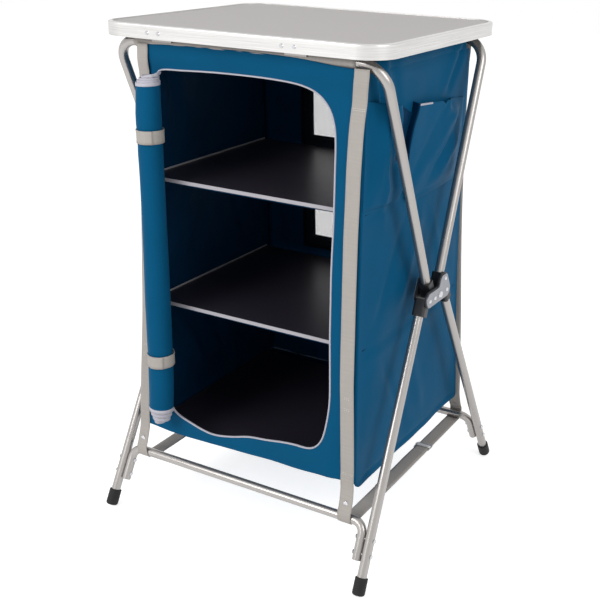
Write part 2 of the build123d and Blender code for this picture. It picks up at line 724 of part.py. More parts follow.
with BuildPart() as roll_ties:
    for z in TIE_Z:
        with BuildSketch(roll_plane(z)):
            Circle(ROLL_D / 2 + SOFT_GAP + TIE_THICK)
            Circle(ROLL_D / 2 + SOFT_GAP, mode=Mode.SUBTRACT)
        extrude(amount=TIE_WIDTH / 2, both=True)
keep(roll_ties, "roll_ties")

# Fabric floor under the bottom board
FLOOR_TOP = SHELF_TOPS["bottom"] - SHELF_THICK - SOFT_GAP
FLOOR_Y = panel_y(FLOOR_TOP) - FABRIC - SOFT_GAP
with BuildPart() as cabinet_floor:
    with BuildSketch(Plane.XY.offset(FLOOR_TOP)):
        Rectangle(2 * (CABINET_HALF - SOFT_GAP), 2 * FLOOR_Y)
    extrude(amount=-FABRIC)
keep(cabinet_floor, "cabinet_floor")


def shelf_sling(top):
    """Fabric band between the side panels that carries a shelf board."""
    with BuildPart() as sling:
        with BuildSketch(Plane.XY.offset(top - SHELF_THICK - SOFT_GAP)):
            Rectangle(2 * (CABINET_HALF - SOFT_GAP), 2 * BOARD_HALF_Y)
        extrude(amount=-FABRIC)
    return sling


def shelf_board(top):
    """Stiff shelf board."""
    with BuildPart() as board:
        with BuildSketch(Plane.XY.offset(top - SHELF_THICK)):
            Rectangle(2 * BOARD_HALF_X, 2 * BOARD_HALF_Y)
        extrude(amount=SHELF_THICK)
    return board


def shelf_strip(top):
    """Light edging along the front and the two sides of a board, standing above it."""
    with BuildPart() as strip:
        with BuildSketch(Plane.XY.offset(top - SHELF_THICK)):
            Rectangle(2 * (BOARD_HALF_X + STRIP_THICK), 2 * (BOARD_HALF_Y + STRIP_THICK))
            Rectangle(2 * BOARD_HALF_X, 2 * BOARD_HALF_Y, mode=Mode.SUBTRACT)
            with Locations((0, BOARD_HALF_Y)):
                Rectangle(2 * WORKTOP_WIDTH, 2 * STRIP_THICK, align=(Align.CENTER, Align.MIN), mode=Mode.SUBTRACT)
        extrude(amount=SHELF_THICK + STRIP_STAND)
    return strip


for shelf, top in SHELF_TOPS.items():
    keep(shelf_board(top), f"{shelf}_shelf_board")
    keep(shelf_strip(top), f"{shelf}_shelf_strip")
    if shelf != "bottom":
        keep(shelf_sling(top), f"{shelf}_shelf_sling")


def side_pocket(corners):
    """Patch pocket on the right side panel: an outer sheet closed at its sides and its seam, open on top."""
    face = CABINET_HALF + FABRIC + SOFT_GAP
    rise = 2 * POCKET_DEPTH
    outline = [(y, TOP_TUBE_Z - drop) for y, drop in corners]
    with BuildPart() as pocket:
        with BuildSketch(Plane.YZ.offset(face)):
            Polygon(*outline, align=None)
        extrude(amount=POCKET_DEPTH)
        with BuildSketch(Plane.YZ.offset(face)):
            Polygon(*outline, align=None)
            offset(amount=-FABRIC)
            with Locations((0, rise)):
                Polygon(*outline, align=None)
        extrude(amount=POCKET_DEPTH - FABRIC, mode=Mode.SUBTRACT)
    return pocket


keep(side_pocket(REAR_POCKET), "rear_side_pocket")
keep(side_pocket(FRONT_POCKET), "front_side_pocket")

# Webbing: each vertical strap runs down its panel and round under the crossbar
STRAP_MID = STRAP_THICK / 2
BELT_R = CROSSBAR_R + SOFT_GAP + STRAP_MID
BELT_Y = leg_point(CROSSBAR_Z)[1]
BELT_Z = CROSSBAR_Z - BELT_R


def strap_line(end):
    """Middle line (y, z) of a vertical strap."""
    sleeve_y = TOP_TUBE_Y + SLEEVE_R + SOFT_GAP + STRAP_MID
    lay_z = PANEL_TOP - 2 * STRAP_WIDTH
    return (
        (end * sleeve_y, STRAP_TOP),
        (end * sleeve_y, TOP_TUBE_Z - SLEEVE_R),
        (end * (panel_y(lay_z) + SOFT_GAP + STRAP_MID), lay_z),
        (end * (panel_y(CABINET_BOTTOM) + SOFT_GAP + STRAP_MID), CABINET_BOTTOM),
        (end * (BELT_Y + BELT_R), CROSSBAR_Z + STRAP_FOLD),
        (end * (BELT_Y + BELT_R), BELT_Z),
        (end * BELT_Y, BELT_Z),
    )


def vertical_strap(end, hand):
    """Webbing strap from the top sleeve down over the panel and under the crossbar."""
    with BuildPart() as strap:
        with BuildSketch(Plane.YZ.offset(hand * STRAP_X)):
            with BuildLine():
                line = strap_line(end)
                FilletPolyline(*line, radius=[STRAP_FOLD] * (len(line) - 4) + [STRAP_MID, BELT_R])
            trace(line_width=STRAP_THICK)
        extrude(amount=STRAP_WIDTH / 2, both=True)
    return strap


def strap_studs(end):
    """Snap studs on the two vertical straps of one end, above the crossbar."""
    line = strap_line(end)
    top_y, top_z = line[3]
    low_y, low_z = line[4]
    share = (top_z - STUD_Z) / (top_z - low_z)
    y = top_y + share * (low_y - top_y)
    normal = (0, end * (top_z - low_z), end * (low_y - top_y))
    with BuildPart() as studs:
        for hand in (LEFT, RIGHT):
            spot = Plane(origin=(hand * STRAP_X, y, STUD_Z), x_dir=(1, 0, 0), z_dir=normal)
            with BuildSketch(spot.offset(STRAP_MID)):
                Circle(STUD_D / 2)
            extrude(amount=STUD_THICK, taper=HEAD_TAPER)
    return studs


for end in (FRONT, REAR):
    keep(strap_studs(end), f"{END_NAMES[end]}_strap_studs")
    for hand in (LEFT, RIGHT):
        keep(vertical_strap(end, hand), f"{END_NAMES[end]}_{SIDE_NAMES[hand]}_strap")

# Bottom straps between the crossbars, each with a slide buckle
with BuildPart() as bottom_straps:
    with BuildSketch(Plane.XY.offset(BELT_Z - STRAP_MID)):
        with GridLocations(2 * STRAP_X, 0, 2, 1):
            Rectangle(STRAP_WIDTH, 2 * (BELT_Y - SOFT_GAP))
    extrude(amount=STRAP_THICK)
keep(bottom_straps, "bottom_straps")

BUCKLE_HEIGHT = STRAP_THICK + 2 * (SOFT_GAP + BUCKLE_WALL)
with BuildPart() as slide_buckles:
    with BuildSketch(Plane.XY.offset(BELT_Z - BUCKLE_HEIGHT / 2)):
        for hand in (LEFT, RIGHT):
            with Locations((hand * STRAP_X, BUCKLE_Y)):
                RectangleRounded(STRAP_WIDTH + 2 * BUCKLE_MARGIN, BUCKLE_LENGTH, BUCKLE_ROUND)
    extrude(amount=BUCKLE_HEIGHT)
    with BuildSketch(Plane.XZ.offset(-BUCKLE_Y)):
        with Locations((0, BELT_Z)):
            with GridLocations(2 * STRAP_X, 0, 2, 1):
                Rectangle(STRAP_WIDTH + 2 * SOFT_GAP, STRAP_THICK + 2 * SOFT_GAP)
    extrude(amount=BUCKLE_LENGTH, both=True, mode=Mode.SUBTRACT)
keep(slide_buckles, "slide_buckles")
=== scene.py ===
"""Looks of a folding camping kitchen cupboard: cloth cabinet, crossed tubes and a framed worktop."""

from math import cos, pi, radians, sin, sqrt

import bpy
from bpy.props import FloatProperty, FloatVectorProperty, PointerProperty
from mathutils import Matrix, Vector, noise


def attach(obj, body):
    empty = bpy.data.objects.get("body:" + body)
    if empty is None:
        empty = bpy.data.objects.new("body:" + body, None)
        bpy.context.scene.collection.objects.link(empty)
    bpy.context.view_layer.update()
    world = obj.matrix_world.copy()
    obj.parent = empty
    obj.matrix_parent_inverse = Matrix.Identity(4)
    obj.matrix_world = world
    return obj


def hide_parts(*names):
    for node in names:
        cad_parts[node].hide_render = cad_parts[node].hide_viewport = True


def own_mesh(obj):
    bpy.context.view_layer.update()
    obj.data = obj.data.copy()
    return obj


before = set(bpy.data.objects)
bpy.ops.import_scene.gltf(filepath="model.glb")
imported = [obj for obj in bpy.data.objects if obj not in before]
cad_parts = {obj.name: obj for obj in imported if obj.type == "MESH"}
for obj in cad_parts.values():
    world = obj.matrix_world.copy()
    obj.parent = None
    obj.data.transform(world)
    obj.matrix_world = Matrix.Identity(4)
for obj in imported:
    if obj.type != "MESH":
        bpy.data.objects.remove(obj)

bl_info = {
    "name": "Camping Kitchen Cupboard",
    "version": (1, 0, 0),
    "blender": (4, 5, 0),
    "location": "View3D > Sidebar > Cupboard",
    "description": "Dresses the packed cupboard frame with fabric, webbing and finishes",
    "category": "Object",
}

# Cabinet, in metres: x across, the front towards -y, z up from the floor
CABINET_HALF = 0.249
CABINET_BOTTOM = 0.172
SIDE_TOP = 0.974
NOTCH_Z = 0.956
NOTCH_Y = 0.197
PANEL_TOP = 0.9637
PANEL_TOP_Y = 0.214
PANEL_BOTTOM_Y = 0.234
SLEEVE_Y = 0.2115
SLEEVE_Z = 0.975
SLEEVE_HALF = 0.235
SLEEVE_MIDDLE_R = 0.0104
BOARD_HALF_Y = 0.203
SHELF_UNDERSIDES = {"middle_shelf_sling": 0.4517, "top_shelf_sling": 0.7097}
FLOOR_Z = 0.1767
STRAP_WIDTH = 0.030
STRAP_THICK = 0.0015
UPRIGHT_WIDTH = 0.0285
LEANING_WIDTH = 0.0245
BELT_X = 0.2445
BAR_Y = 0.2457
BAR_Z = 0.120
BAR_BELT_R = 0.01005
BELT_Z = BAR_Z - BAR_BELT_R

# Half width of the flat front and back, before the corners draw them in
NOMINAL_HALF = 0.25

# Offsets of cloth middles from the solids' faces, and of what lies on the cloth
HALF_CLOTH = 0.0008
STRAP_GAP = 0.0014
BORDER_GAP = 0.0014
NET_GAP = 0.0026
POCKET_GAP = 0.0018
ROLL_GAP = 0.0030

FRONT = -1
REAR = 1
LEFT = -1
RIGHT = 1

# Door opening seen from the front, as corners (x, z) that a smooth line goes through
DOOR_LINE = (
    (-0.194, 0.560), (-0.195, 0.700), (-0.196, 0.820), (-0.196, 0.890), (-0.191, 0.917), (-0.176, 0.928),
    (-0.126, 0.931), (-0.060, 0.934), (0.013, 0.935), (0.075, 0.934), (0.124, 0.930), (0.158, 0.919),
    (0.180, 0.900), (0.193, 0.874), (0.198, 0.838), (0.197, 0.760), (0.196, 0.690), (0.194, 0.592),
    (0.193, 0.490), (0.195, 0.410), (0.195, 0.350), (0.190, 0.304), (0.181, 0.266), (0.166, 0.244),
    (0.146, 0.235), (0.118, 0.234), (0.088, 0.231), (0.050, 0.225), (0.009, 0.220), (-0.035, 0.208),
    (-0.075, 0.201), (-0.105, 0.203), (-0.138, 0.211), (-0.166, 0.220), (-0.184, 0.233), (-0.193, 0.260),
    (-0.195, 0.310), (-0.194, 0.420),
)

# Windows of the back panel: half width and the heights between which each is open
WINDOW_HALF = 0.119
WINDOW_SHARE = WINDOW_HALF / NOMINAL_HALF
WINDOW_SPANS = ((0.498, 0.628), (0.735, 0.865))
BORDER_WIDTH = 0.032

# Outside and inside finish of the cabinet panels; the inside one is the coating's dark navy, darkened further
# as painted shade of the cabinet's inside
CLOTH_FACES = ("blue_canvas", "canvas_lining")


def srgb(red, green, blue):
    """Scene-linear colour from 0-255 display values."""
    shares = (red / 255, green / 255, blue / 255)
    return tuple(s / 12.92 if s <= 0.04045 else ((s + 0.055) / 1.055) ** 2.4 for s in shares)


def colour(name, description, value):
    """Colour setting."""
    return FloatVectorProperty(name=name, description=description, default=value,
                               subtype="COLOR", min=0, max=1)


def measure(name, description, value, low, high, **unit):
    """Number setting."""
    return FloatProperty(name=name, description=description, default=value, min=low, max=high, **unit)


class FabricSettings(bpy.types.PropertyGroup):
    canvas: colour("Canvas", "Outside of the cabinet cloth", srgb(11, 85, 124))
    # Lining: the coating's dark navy, darkened further as painted shade of the cabinet's inside
    lining: colour("Lining", "Coated inside of the cabinet cloth", srgb(8, 50, 82))
    binding: colour("Binding", "Light tape round the door and its edges", srgb(200, 198, 208))
    border: colour("Window border", "Dark tape round the windows", srgb(20, 21, 26))
    cloth_thickness: measure("Cloth thickness", "Thickness of the canvas with its coating",
                             0.0016, 0.0005, 0.004, unit="LENGTH")
    slackness: measure("Slackness", "How deep the soft folds are, 1 as photographed", 1.0, 0, 2)


class WebbingSettings(bpy.types.PropertyGroup):
    webbing: colour("Webbing", "Straps, sleeves and ties", srgb(184, 178, 172))
    thread: colour("Thread", "Sewing thread on the webbing", srgb(222, 220, 214))
    rib_spacing: measure("Rib spacing", "Distance between the ribs across the webbing",
                         0.0016, 0.0005, 0.01, unit="LENGTH")


class MetalSettings(bpy.types.PropertyGroup):
    trim: colour("Edge trim", "Bright brushed frame of the worktop", srgb(226, 225, 223))
    tube: colour("Tube", "Satin tubes of the frame", srgb(170, 166, 163))
    plate: colour("Hub plate", "Stamped steel of the hub crescents", srgb(150, 152, 158))


class BoardSettings(bpy.types.PropertyGroup):
    worktop: colour("Worktop", "Laminate of the worktop board", srgb(181, 177, 175))
    shelf: colour("Shelf", "Dark face of the shelf boards", srgb(44, 41, 50))


class StageSettings(bpy.types.PropertyGroup):
    floor: colour("Floor", "Pale floor", (0.86, 0.86, 0.86))
    key_power: measure("Key lamp", "Power of the soft lamp at the front left", 52, 0, 500)
    fill_power: measure("Fill lamp", "Power of the soft lamp at the right", 25, 0, 500)
    sky: measure("Surroundings", "Level of the light from all round", 0.48, 0, 1)


def ease(low, high, value):
    """0 below low, 1 above high and smooth between."""
    share = min(max((value - low) / (high - low), 0.0), 1.0)
    return share * share * (3 - 2 * share)


def between(stops, key):
    """Smooth value through given (key, value) stops, level at the first and the last."""
    if key <= stops[0][0]:
        return stops[0][1]
    if key >= stops[-1][0]:
        return stops[-1][1]
    place = next(k for k, stop in enumerate(stops) if key <= stop[0])
    (low, first), (high, second) = stops[place - 1:place + 1]
    rises = []
    for k in (place - 1, place):
        rise = 0.0
        if 0 < k < len(stops) - 1:
            (before, below), (after, above) = stops[k - 1], stops[k + 1]
            rise = (above - below) / (after - before) * (high - low)
        rises.append(rise)
    t = (key - low) / (high - low)
    return (first * (2 * t - 3) * t * t + first + rises[0] * t * (t - 1) * (t - 1)
            + second * (3 - 2 * t) * t * t + rises[1] * t * t * (t - 1))


def ripple(x, y, z, size, seed=0.0):
    """Soft unevenness between -1 and 1, with bumps about as wide as size."""
    return noise.noise(Vector((x / size + seed, y / size + 2.3 * seed, z / size - seed)))


DECAY = 2.718


def fold(across, middle, width):
    """Rounded ridge of height 1 and the given width."""
    share = (across - middle) / width
    return DECAY ** (-share * share)


def spread(count, low=0.0, high=1.0):
    """Evenly spread values with both ends."""
    return [low + (high - low) * k / (count - 1) for k in range(count)]


def smooth_loop(corners, count):
    """Closed smooth line through corners (x, z), as count evenly spread points."""
    total = len(corners)
    dense = []
    for k in range(total):
        before, start, end, after = (Vector(corners[(k + step) % total]) for step in (-1, 0, 1, 2))
        for step in range(12):
            t = step / 12
            dense.append(0.5 * (
                2 * start + (end - before) * t + (2 * before - 5 * start + 4 * end - after) * t * t
                + (3 * start - before - 3 * end + after) * t * t * t
            ))
    return even_points(dense, count, True)


def even_points(points, count, closed=False):
    """The same line with evenly spread points."""
    line = list(points) + [points[0]] if closed else list(points)
    lengths = [0.0]
    for first, second in zip(line, line[1:]):
        lengths.append(lengths[-1] + (second - first).length)
    steps = count if closed else count - 1
    spots = []
    place = 0
    for k in range(count):
        goal = lengths[-1] * k / steps
        while place < len(line) - 2 and lengths[place + 1] < goal:
            place += 1
        span = lengths[place + 1] - lengths[place] or 1.0
        spots.append(line[place].lerp(line[place + 1], (goal - lengths[place]) / span))
    return spots


def panel_y(z):
    """Distance from the middle to the outer face of the front or back panel at a height."""
    share = (PANEL_TOP - z) / (PANEL_TOP - CABINET_BOTTOM)
    return PANEL_TOP_Y + share * (PANEL_BOTTOM_Y - PANEL_TOP_Y)


# Middles of the vertical straps, as (height, distance from the cabinet's middle); the front left one leans
STRAP_MIDDLES = ((0.110, 0.2425), (0.150, 0.2405), (0.185, 0.2368), (0.220, 0.2366), (0.300, 0.2342),
                 (0.400, 0.2312), (0.560, 0.2310), (0.670, 0.2315), (0.740, 0.2330), (0.810, 0.2348),
                 (0.870, 0.2382), (0.920, 0.2440), (0.965, 0.2505))
LEANING_MIDDLES = ((0.110, 0.2500), (0.140, 0.2555), (0.186, 0.2575), (0.234, 0.2550), (0.281, 0.2510),
                   (0.416, 0.2400), (0.460, 0.2370), (0.700, 0.2270), (0.930, 0.2165), (0.965, 0.2125))
REAR_MIDDLES = ((0.110, 0.2455), (0.185, 0.2465), (0.300, 0.2440), (0.420, 0.2400), (0.560, 0.2350),
                (0.700, 0.2335), (0.965, 0.2345))


def strap_centre(z, hand, end):
    """Across position of a vertical strap's middle at a height."""
    if end == REAR:
        return hand * between(REAR_MIDDLES, z)
    return hand * between(LEANING_MIDDLES if hand == LEFT else STRAP_MIDDLES, z)


def corner_x(z, hand=RIGHT, end=REAR):
    """Distance of the cabinet's upright corners from its middle, which the straps draw in half way up."""
    if (hand, end) == (LEFT, FRONT):
        return min(abs(strap_centre(z, hand, end)) + 0.0125, 0.2600)
    return between(((0.172, 0.2505), (0.300, 0.2475), (0.500, 0.2450), (0.760, 0.2470), (0.950, 0.2505)), z)


def waist(z):
    """How far the upright corners are drawn towards the middle of the cabinet's depth."""
    return between(((0.172, 0.0), (0.330, 0.0045), (0.560, 0.0060), (0.800, 0.0040), (0.930, 0.0)), z)


def corner_share(x, z, hand=RIGHT, end=REAR):
    """1 at an upright corner and 0 from the strap's inner edge inwards."""
    return ease(-0.026, -0.004, abs(x) - corner_x(z, hand, end))


def slack():
    """How deep the folds are."""
    return bpy.context.scene.cupboard_fabric.slackness


# Mesh makers


def grid_quads(rows, columns, hole=None):
    """Faces of a grid of points, left out where hole(row, column) is true."""
    quads = []
    for j in range(rows - 1):
        for i in range(columns - 1):
            if hole is None or not hole(j, i):
                start = j * columns + i
                quads.append((start, start + 1, start + columns + 1, start + columns))
    return quads


def ring_quads(rows, columns):
    """Faces of a grid whose rows close on themselves."""
    quads = []
    for low in range(0, (rows - 1) * columns, columns):
        for i in range(columns):
            right = (i + 1) % columns
            quads.append((low + i, low + right, low + columns + right, low + columns + i))
    return quads


def new_piece(name, vertices, faces, finishes, slots=None, uvs=None):
    """Mesh object with its named finishes, face by face; without slots it takes the first one."""
    mesh = bpy.data.meshes.new(name)
    mesh.from_pydata([tuple(v) for v in vertices], [], faces)
    for finish in finishes:
        mesh.materials.append(FINISHES[finish])
    mesh.polygons.foreach_set("material_index", slots or [0] * len(faces))
    mesh.polygons.foreach_set("use_smooth", [True] * len(faces))
    layer = mesh.uv_layers.new(name="cloth")
    for loop in mesh.loops:
        layer.data[loop.index].uv = uvs[loop.vertex_index] if uvs else (0, 0)
    mesh.validate()
    mesh.update()
    piece = bpy.data.objects.new(name, mesh)
    bpy.context.scene.collection.objects.link(piece)
    return piece


def cloth(name, points, quads, thick, finishes, uvs, facing=None, slots=None, lining=0):
    """Closed sheet of cloth from its middle points; thick is one value or one for each point."""
    used = sorted({k for quad in quads for k in quad})
    place = {old: new for new, old in enumerate(used)}
    middles = [points[k] for k in used]
    flat = [uvs[k] for k in used]
    depth = [thick[k] for k in used] if isinstance(thick, list) else [thick] * len(used)
    quads = [tuple(place[k] for k in quad) for quad in quads]
    normals = [Vector((0, 0, 0)) for _ in middles]
    for a, b, c, d in quads:
        normal = (middles[c] - middles[a]).cross(middles[d] - middles[b])
        for k in (a, b, c, d):
            normals[k] += normal
    total = sum(normals, Vector((0, 0, 0)))
    turned = facing is not None and total.dot(Vector(facing)) < 0
    if turned:
        quads = [tuple(reversed(quad)) for quad in quads]
        normals = [-normal for normal in normals]
    normals = [normal.normalized() for normal in normals]
    count = len(middles)
    vertices = [m + n * d / 2 for m, n, d in zip(middles, normals, depth)]
    vertices += [m - n * d / 2 for m, n, d in zip(middles, normals, depth)]
    outer_slots = list(slots) if slots else [0] * len(quads)
    faces = list(quads)
    face_slots = list(outer_slots)
    for quad, slot in zip(quads, outer_slots):
        faces.append(tuple(k + count for k in reversed(quad)))
        face_slots.append(slot if slot else lining)
    edges = {}
    for quad, slot in zip(quads, outer_slots):
        for k in range(4):
            edges[(quad[k], quad[(k + 1) % 4])] = slot
    for (first, second), slot in edges.items():
        if (second, first) not in edges:
            faces.append((second, first, first + count, second + count))
            face_slots.append(slot)
    return new_piece(name, vertices, faces, finishes, face_slots, flat + flat)


def grid_cloth(name, rows, columns, shape, plane, thick, finishes, facing, hole=None, slots=None, lining=0):
    """Sheet of cloth with middle points shape(row, column) and a weave along the plane's two axes."""
    points = [shape(row, column) for row in rows for column in columns]
    uvs = [tuple(getattr(p, axis) for axis in plane) for p in points]
    quads = grid_quads(len(rows), len(columns), hole)
    return cloth(name, points, quads, thick, finishes, uvs, facing, slots, lining)


def rod(name, path, radii, finish, closed=False, upright=(0, 0, 1), sides=10):
    """Round or oval bar along a line of points; radii is (across, upright) or a list of them."""
    count = len(path)
    vertices = []
    uvs = []
    run = 0.0
    for k, spot in enumerate(path):
        ahead = path[(k + 1) % count] if closed or k < count - 1 else path[k]
        behind = path[k - 1] if closed or k > 0 else path[k]
        along = (ahead - behind).normalized()
        across = along.cross(Vector(upright)).normalized()
        rise = across.cross(along).normalized()
        wide, high = radii[k] if isinstance(radii, list) else radii
        for step in range(sides):
            angle = 2 * pi * step / sides
            vertices.append(spot + across * wide * cos(angle) + rise * high * sin(angle))
            uvs.append((run, step / sides * 2 * pi * wide))
        run += (ahead - behind).length / 2
    total = count * sides
    faces = [tuple(k % total for k in quad) for quad in ring_quads(count + closed, sides)]
    if not closed:
        faces += [tuple(reversed(range(sides))), tuple(range(total - sides, total))]
    return new_piece(name, vertices, faces, [finish], uvs=uvs)


def joined(name, pieces):
    """Several mesh pieces as one, under a new name."""
    bpy.ops.object.select_all(action="DESELECT")
    for piece in pieces:
        piece.select_set(True)
    bpy.context.view_layer.objects.active = pieces[0]
    if len(pieces) > 1:
        bpy.ops.object.join()
    pieces[0].name = name
    pieces[0].data.name = name
    return pieces[0]


def stitch_row(name, line, outward, length=0.0026, gap=0.0016):
    """Row of single stitches along a line of points, lying on a surface that faces outward."""
    radius = 0.00045
    sides = 6
    profile = ((0.0, 0.25), (0.2, 1.0), (0.8, 1.0), (1.0, 0.25))
    last = (len(profile) - 1) * sides
    total = sum((b - a).length for a, b in zip(line, line[1:]))
    count = max(int(total / (length + gap)), 2)
    spots = even_points(line, 2 * count)
    vertices = []
    faces = []
    out = Vector(outward).normalized()
    for first, second in zip(spots[::2], spots[1::2]):
        along = (second - first).normalized()
        side = along.cross(out).normalized()
        base = len(vertices)
        for share, size in profile:
            for step in range(sides):
                angle = 2 * pi * step / sides
                ring = side * radius * size * cos(angle) + out * radius * size * sin(angle)
                vertices.append(first + along * length * share + ring)
        faces += [tuple(base + k for k in quad) for quad in ring_quads(len(profile), sides)]
        faces.append(tuple(base + step for step in reversed(range(sides))))
        faces.append(tuple(base + last + step for step in range(sides)))
    return new_piece(name, vertices, faces, ["sewing_thread"])


# Shader effects, each a node group with named inputs and outputs


EFFECTS = {}
FINISHES = {}


def effect(name, values, outputs=("Color", "Roughness", "Height")):
    """New shader node group with its input and output sockets; besides the given values it takes a vector."""
    group = bpy.data.node_groups.new(name, "ShaderNodeTree")
    group.interface.new_socket(name="Vector", in_out="INPUT", socket_type="NodeSocketVector")
    for socket, value in values.items():
        kind = "NodeSocketColor" if "Color" in socket else "NodeSocketFloat"
        item = group.interface.new_socket(name=socket, in_out="INPUT", socket_type=kind)
        item.default_value = value
    for socket in outputs:
        kind = "NodeSocketColor" if socket == "Color" else "NodeSocketFloat"
        group.interface.new_socket(name=socket, in_out="OUTPUT", socket_type=kind)
    EFFECTS[name] = group
    return group, group.nodes.new("NodeGroupInput").outputs, group.nodes.new("NodeGroupOutput").inputs


def feed(tree, value, socket):
    """Give a socket another socket's value, a number or a colour."""
    if isinstance(value, (int, float)):
        socket.default_value = value
    elif isinstance(value, tuple):
        socket.default_value = (*value, 1) if len(value) == 3 else value
    else:
        tree.links.new(value, socket)


def math(tree, action, *values):
    """Math node on sockets or numbers."""
    node = tree.nodes.new("ShaderNodeMath")
    node.operation = action
    for slot, value in enumerate(values):
        feed(tree, value, node.inputs[slot])
    return node.outputs[0]


def tint(tree, share, first, second):
    """Colour mix of two sockets or colours; share is a socket or a number."""
    node = tree.nodes.new("ShaderNodeMix")
    node.data_type = "RGBA"
    for slot, value in ((0, share), (6, first), (7, second)):
        feed(tree, value, node.inputs[slot])
    return node.outputs[2]


def shade(tree, tone, level, socket):
    """Colour made lighter or darker by a level, into a socket."""
    node = tree.nodes.new("ShaderNodeVectorMath")
    node.operation = "SCALE"
    tree.links.new(tone, node.inputs[0])
    tree.links.new(level, node.inputs["Scale"])
    tree.links.new(node.outputs[0], socket)


def stretched(tree, vector, scale):
    """Vector scaled along its axes."""
    node = tree.nodes.new("ShaderNodeMapping")
    node.inputs["Scale"].default_value = scale
    tree.links.new(vector, node.inputs["Vector"])
    return node.outputs[0]


def cloudy(tree, vector, scale, detail, rough=0.5):
    """Noise value over a vector."""
    node = tree.nodes.new("ShaderNodeTexNoise")
    feed(tree, scale, node.inputs["Scale"])
    node.inputs["Detail"].default_value = detail
    node.inputs["Roughness"].default_value = rough
    tree.links.new(vector, node.inputs["Vector"])
    return node.outputs[0]


def ranged(tree, value, low, high, out_low=0.0, out_high=1.0):
    """Value stretched from one range to another and kept inside it."""
    node = tree.nodes.new("ShaderNodeMapRange")
    tree.links.new(value, node.inputs["Value"])
    for socket, limit in (("From Min", low), ("From Max", high), ("To Min", out_low), ("To Max", out_high)):
        node.inputs[socket].default_value = limit
    return node.outputs[0]


def waves(tree, vector, axis, spacing):
    """Smooth ribs between 0 and 1 across one axis of a vector, at a spacing in metres."""
    split = tree.nodes.new("ShaderNodeSeparateXYZ")
    tree.links.new(vector, split.inputs[0])
    turns = math(tree, "DIVIDE", split.outputs[axis], spacing)
    turned = math(tree, "SINE", math(tree, "MULTIPLY", turns, 2 * pi))
    return math(tree, "ADD", math(tree, "MULTIPLY", turned, 0.5), 0.5)


def canvas_effect():
    """Plain weave of coated canvas: tinted colour, roughness and height."""
    values = {"Color": (0.1, 0.3, 0.5, 1), "Thread": 0.0011, "Unevenness": 0.1}
    group, given, out = effect("canvas_weave", values)
    vector = given["Vector"]
    weave = math(group, "MULTIPLY", *(waves(group, vector, axis, given["Thread"]) for axis in (0, 1)))
    broad = cloudy(group, vector, 9, 3)
    fine = cloudy(group, vector, 420, 2)
    shift = math(group, "MULTIPLY", math(group, "SUBTRACT", broad, 0.5), given["Unevenness"])
    grain = math(group, "MULTIPLY", math(group, "SUBTRACT", fine, 0.5), 0.16)
    level = math(group, "ADD", math(group, "ADD", shift, grain), 1.0)
    gaps = math(group, "MULTIPLY", math(group, "SUBTRACT", 0.5, weave), 0.12)
    shade(group, given["Color"], math(group, "SUBTRACT", level, gaps), out["Color"])
    group.links.new(ranged(group, broad, 0.3, 0.7, 0.50, 0.62), out["Roughness"])
    height = math(group, "ADD", math(group, "MULTIPLY", weave, 0.5), math(group, "MULTIPLY", fine, 0.5))
    group.links.new(height, out["Height"])


def webbing_effect():
    """Ribs across webbing, with darker edges of each rib and a little soiling."""
    values = {"Color": (0.5, 0.5, 0.5, 1), "Rib": 0.0016, "Soil": 0.1}
    group, given, out = effect("webbing_ribs", values, ("Color", "Height"))
    vector = given["Vector"]
    ribs = waves(group, vector, 1, given["Rib"])
    cords = waves(group, vector, 0, 0.0030)
    lines = ranged(group, cloudy(group, stretched(group, vector, (14, 260, 1)), 1.0, 2), 0.35, 0.75)
    soil = math(group, "MULTIPLY", cloudy(group, vector, 16, 3), given["Soil"])
    level = math(group, "ADD", 0.93, math(group, "MULTIPLY", ribs, 0.05))
    level = math(group, "ADD", level, math(group, "MULTIPLY", lines, 0.07))
    shade(group, given["Color"], math(group, "SUBTRACT", level, soil), out["Color"])
    height = math(group, "ADD", math(group, "MULTIPLY", ribs, 0.7), math(group, "MULTIPLY", cords, 0.3))
    group.links.new(height, out["Height"])


def brushed_effect():
    """Fine drawn lines of a metal profile: colour, roughness and height."""
    values = {"Color": (0.8, 0.8, 0.8, 1), "Depth": 0.1, "Base Roughness": 0.3}
    group, given, out = effect("drawn_lines", values)
    vector = given["Vector"]
    fine = cloudy(group, vector, 1.0, 3, 0.6)
    broad = cloudy(group, vector, 0.06, 2)
    drop = math(group, "MULTIPLY", ranged(group, fine, 0.35, 0.75), given["Depth"])
    shade(group, given["Color"], math(group, "SUBTRACT", 1.0, drop), out["Color"])
    change = math(group, "MULTIPLY", math(group, "SUBTRACT", broad, 0.4), 0.25)
    group.links.new(math(group, "ADD", given["Base Roughness"], change), out["Roughness"])
    group.links.new(fine, out["Height"])


def grain_effect():
    """Moulded or pressed surface: soft grain, specks and handling marks."""
    values = {"Color": (0.1, 0.1, 0.1, 1), "Speck Color": (0.3, 0.3, 0.3, 1), "Grain": 900.0, "Marks": 0.3,
              "Base Roughness": 0.5}
    group, given, out = effect("surface_grain", values)
    vector = given["Vector"]
    grain = cloudy(group, vector, given["Grain"], 3)
    marks = ranged(group, cloudy(group, vector, 23, 4, 0.6), 0.52, 0.72)
    share = math(group, "MULTIPLY", marks, given["Marks"])
    specks = math(group, "MULTIPLY", ranged(group, grain, 0.55, 0.75), given["Marks"])
    share = math(group, "MAXIMUM", math(group, "MULTIPLY", share, 0.5), specks)
    group.links.new(tint(group, share, given["Color"], given["Speck Color"]), out["Color"])
    rough = math(group, "ADD", given["Base Roughness"], math(group, "MULTIPLY", share, 0.2))
    group.links.new(rough, out["Roughness"])
    group.links.new(grain, out["Height"])


def blank(name, **settings):
    """New material and its main shader, with plain values on its own sockets."""
    material = bpy.data.materials.new(name)
    material.use_nodes = True
    shader = material.node_tree.nodes["Principled BSDF"]
    for socket, value in settings.items():
        shader.inputs[socket.replace("_", " ")].default_value = value
    FINISHES[name] = material
    return material.node_tree, shader


def coordinates(tree, kind):
    """Texture coordinate output."""
    return tree.nodes.new("ShaderNodeTexCoord").outputs[kind]


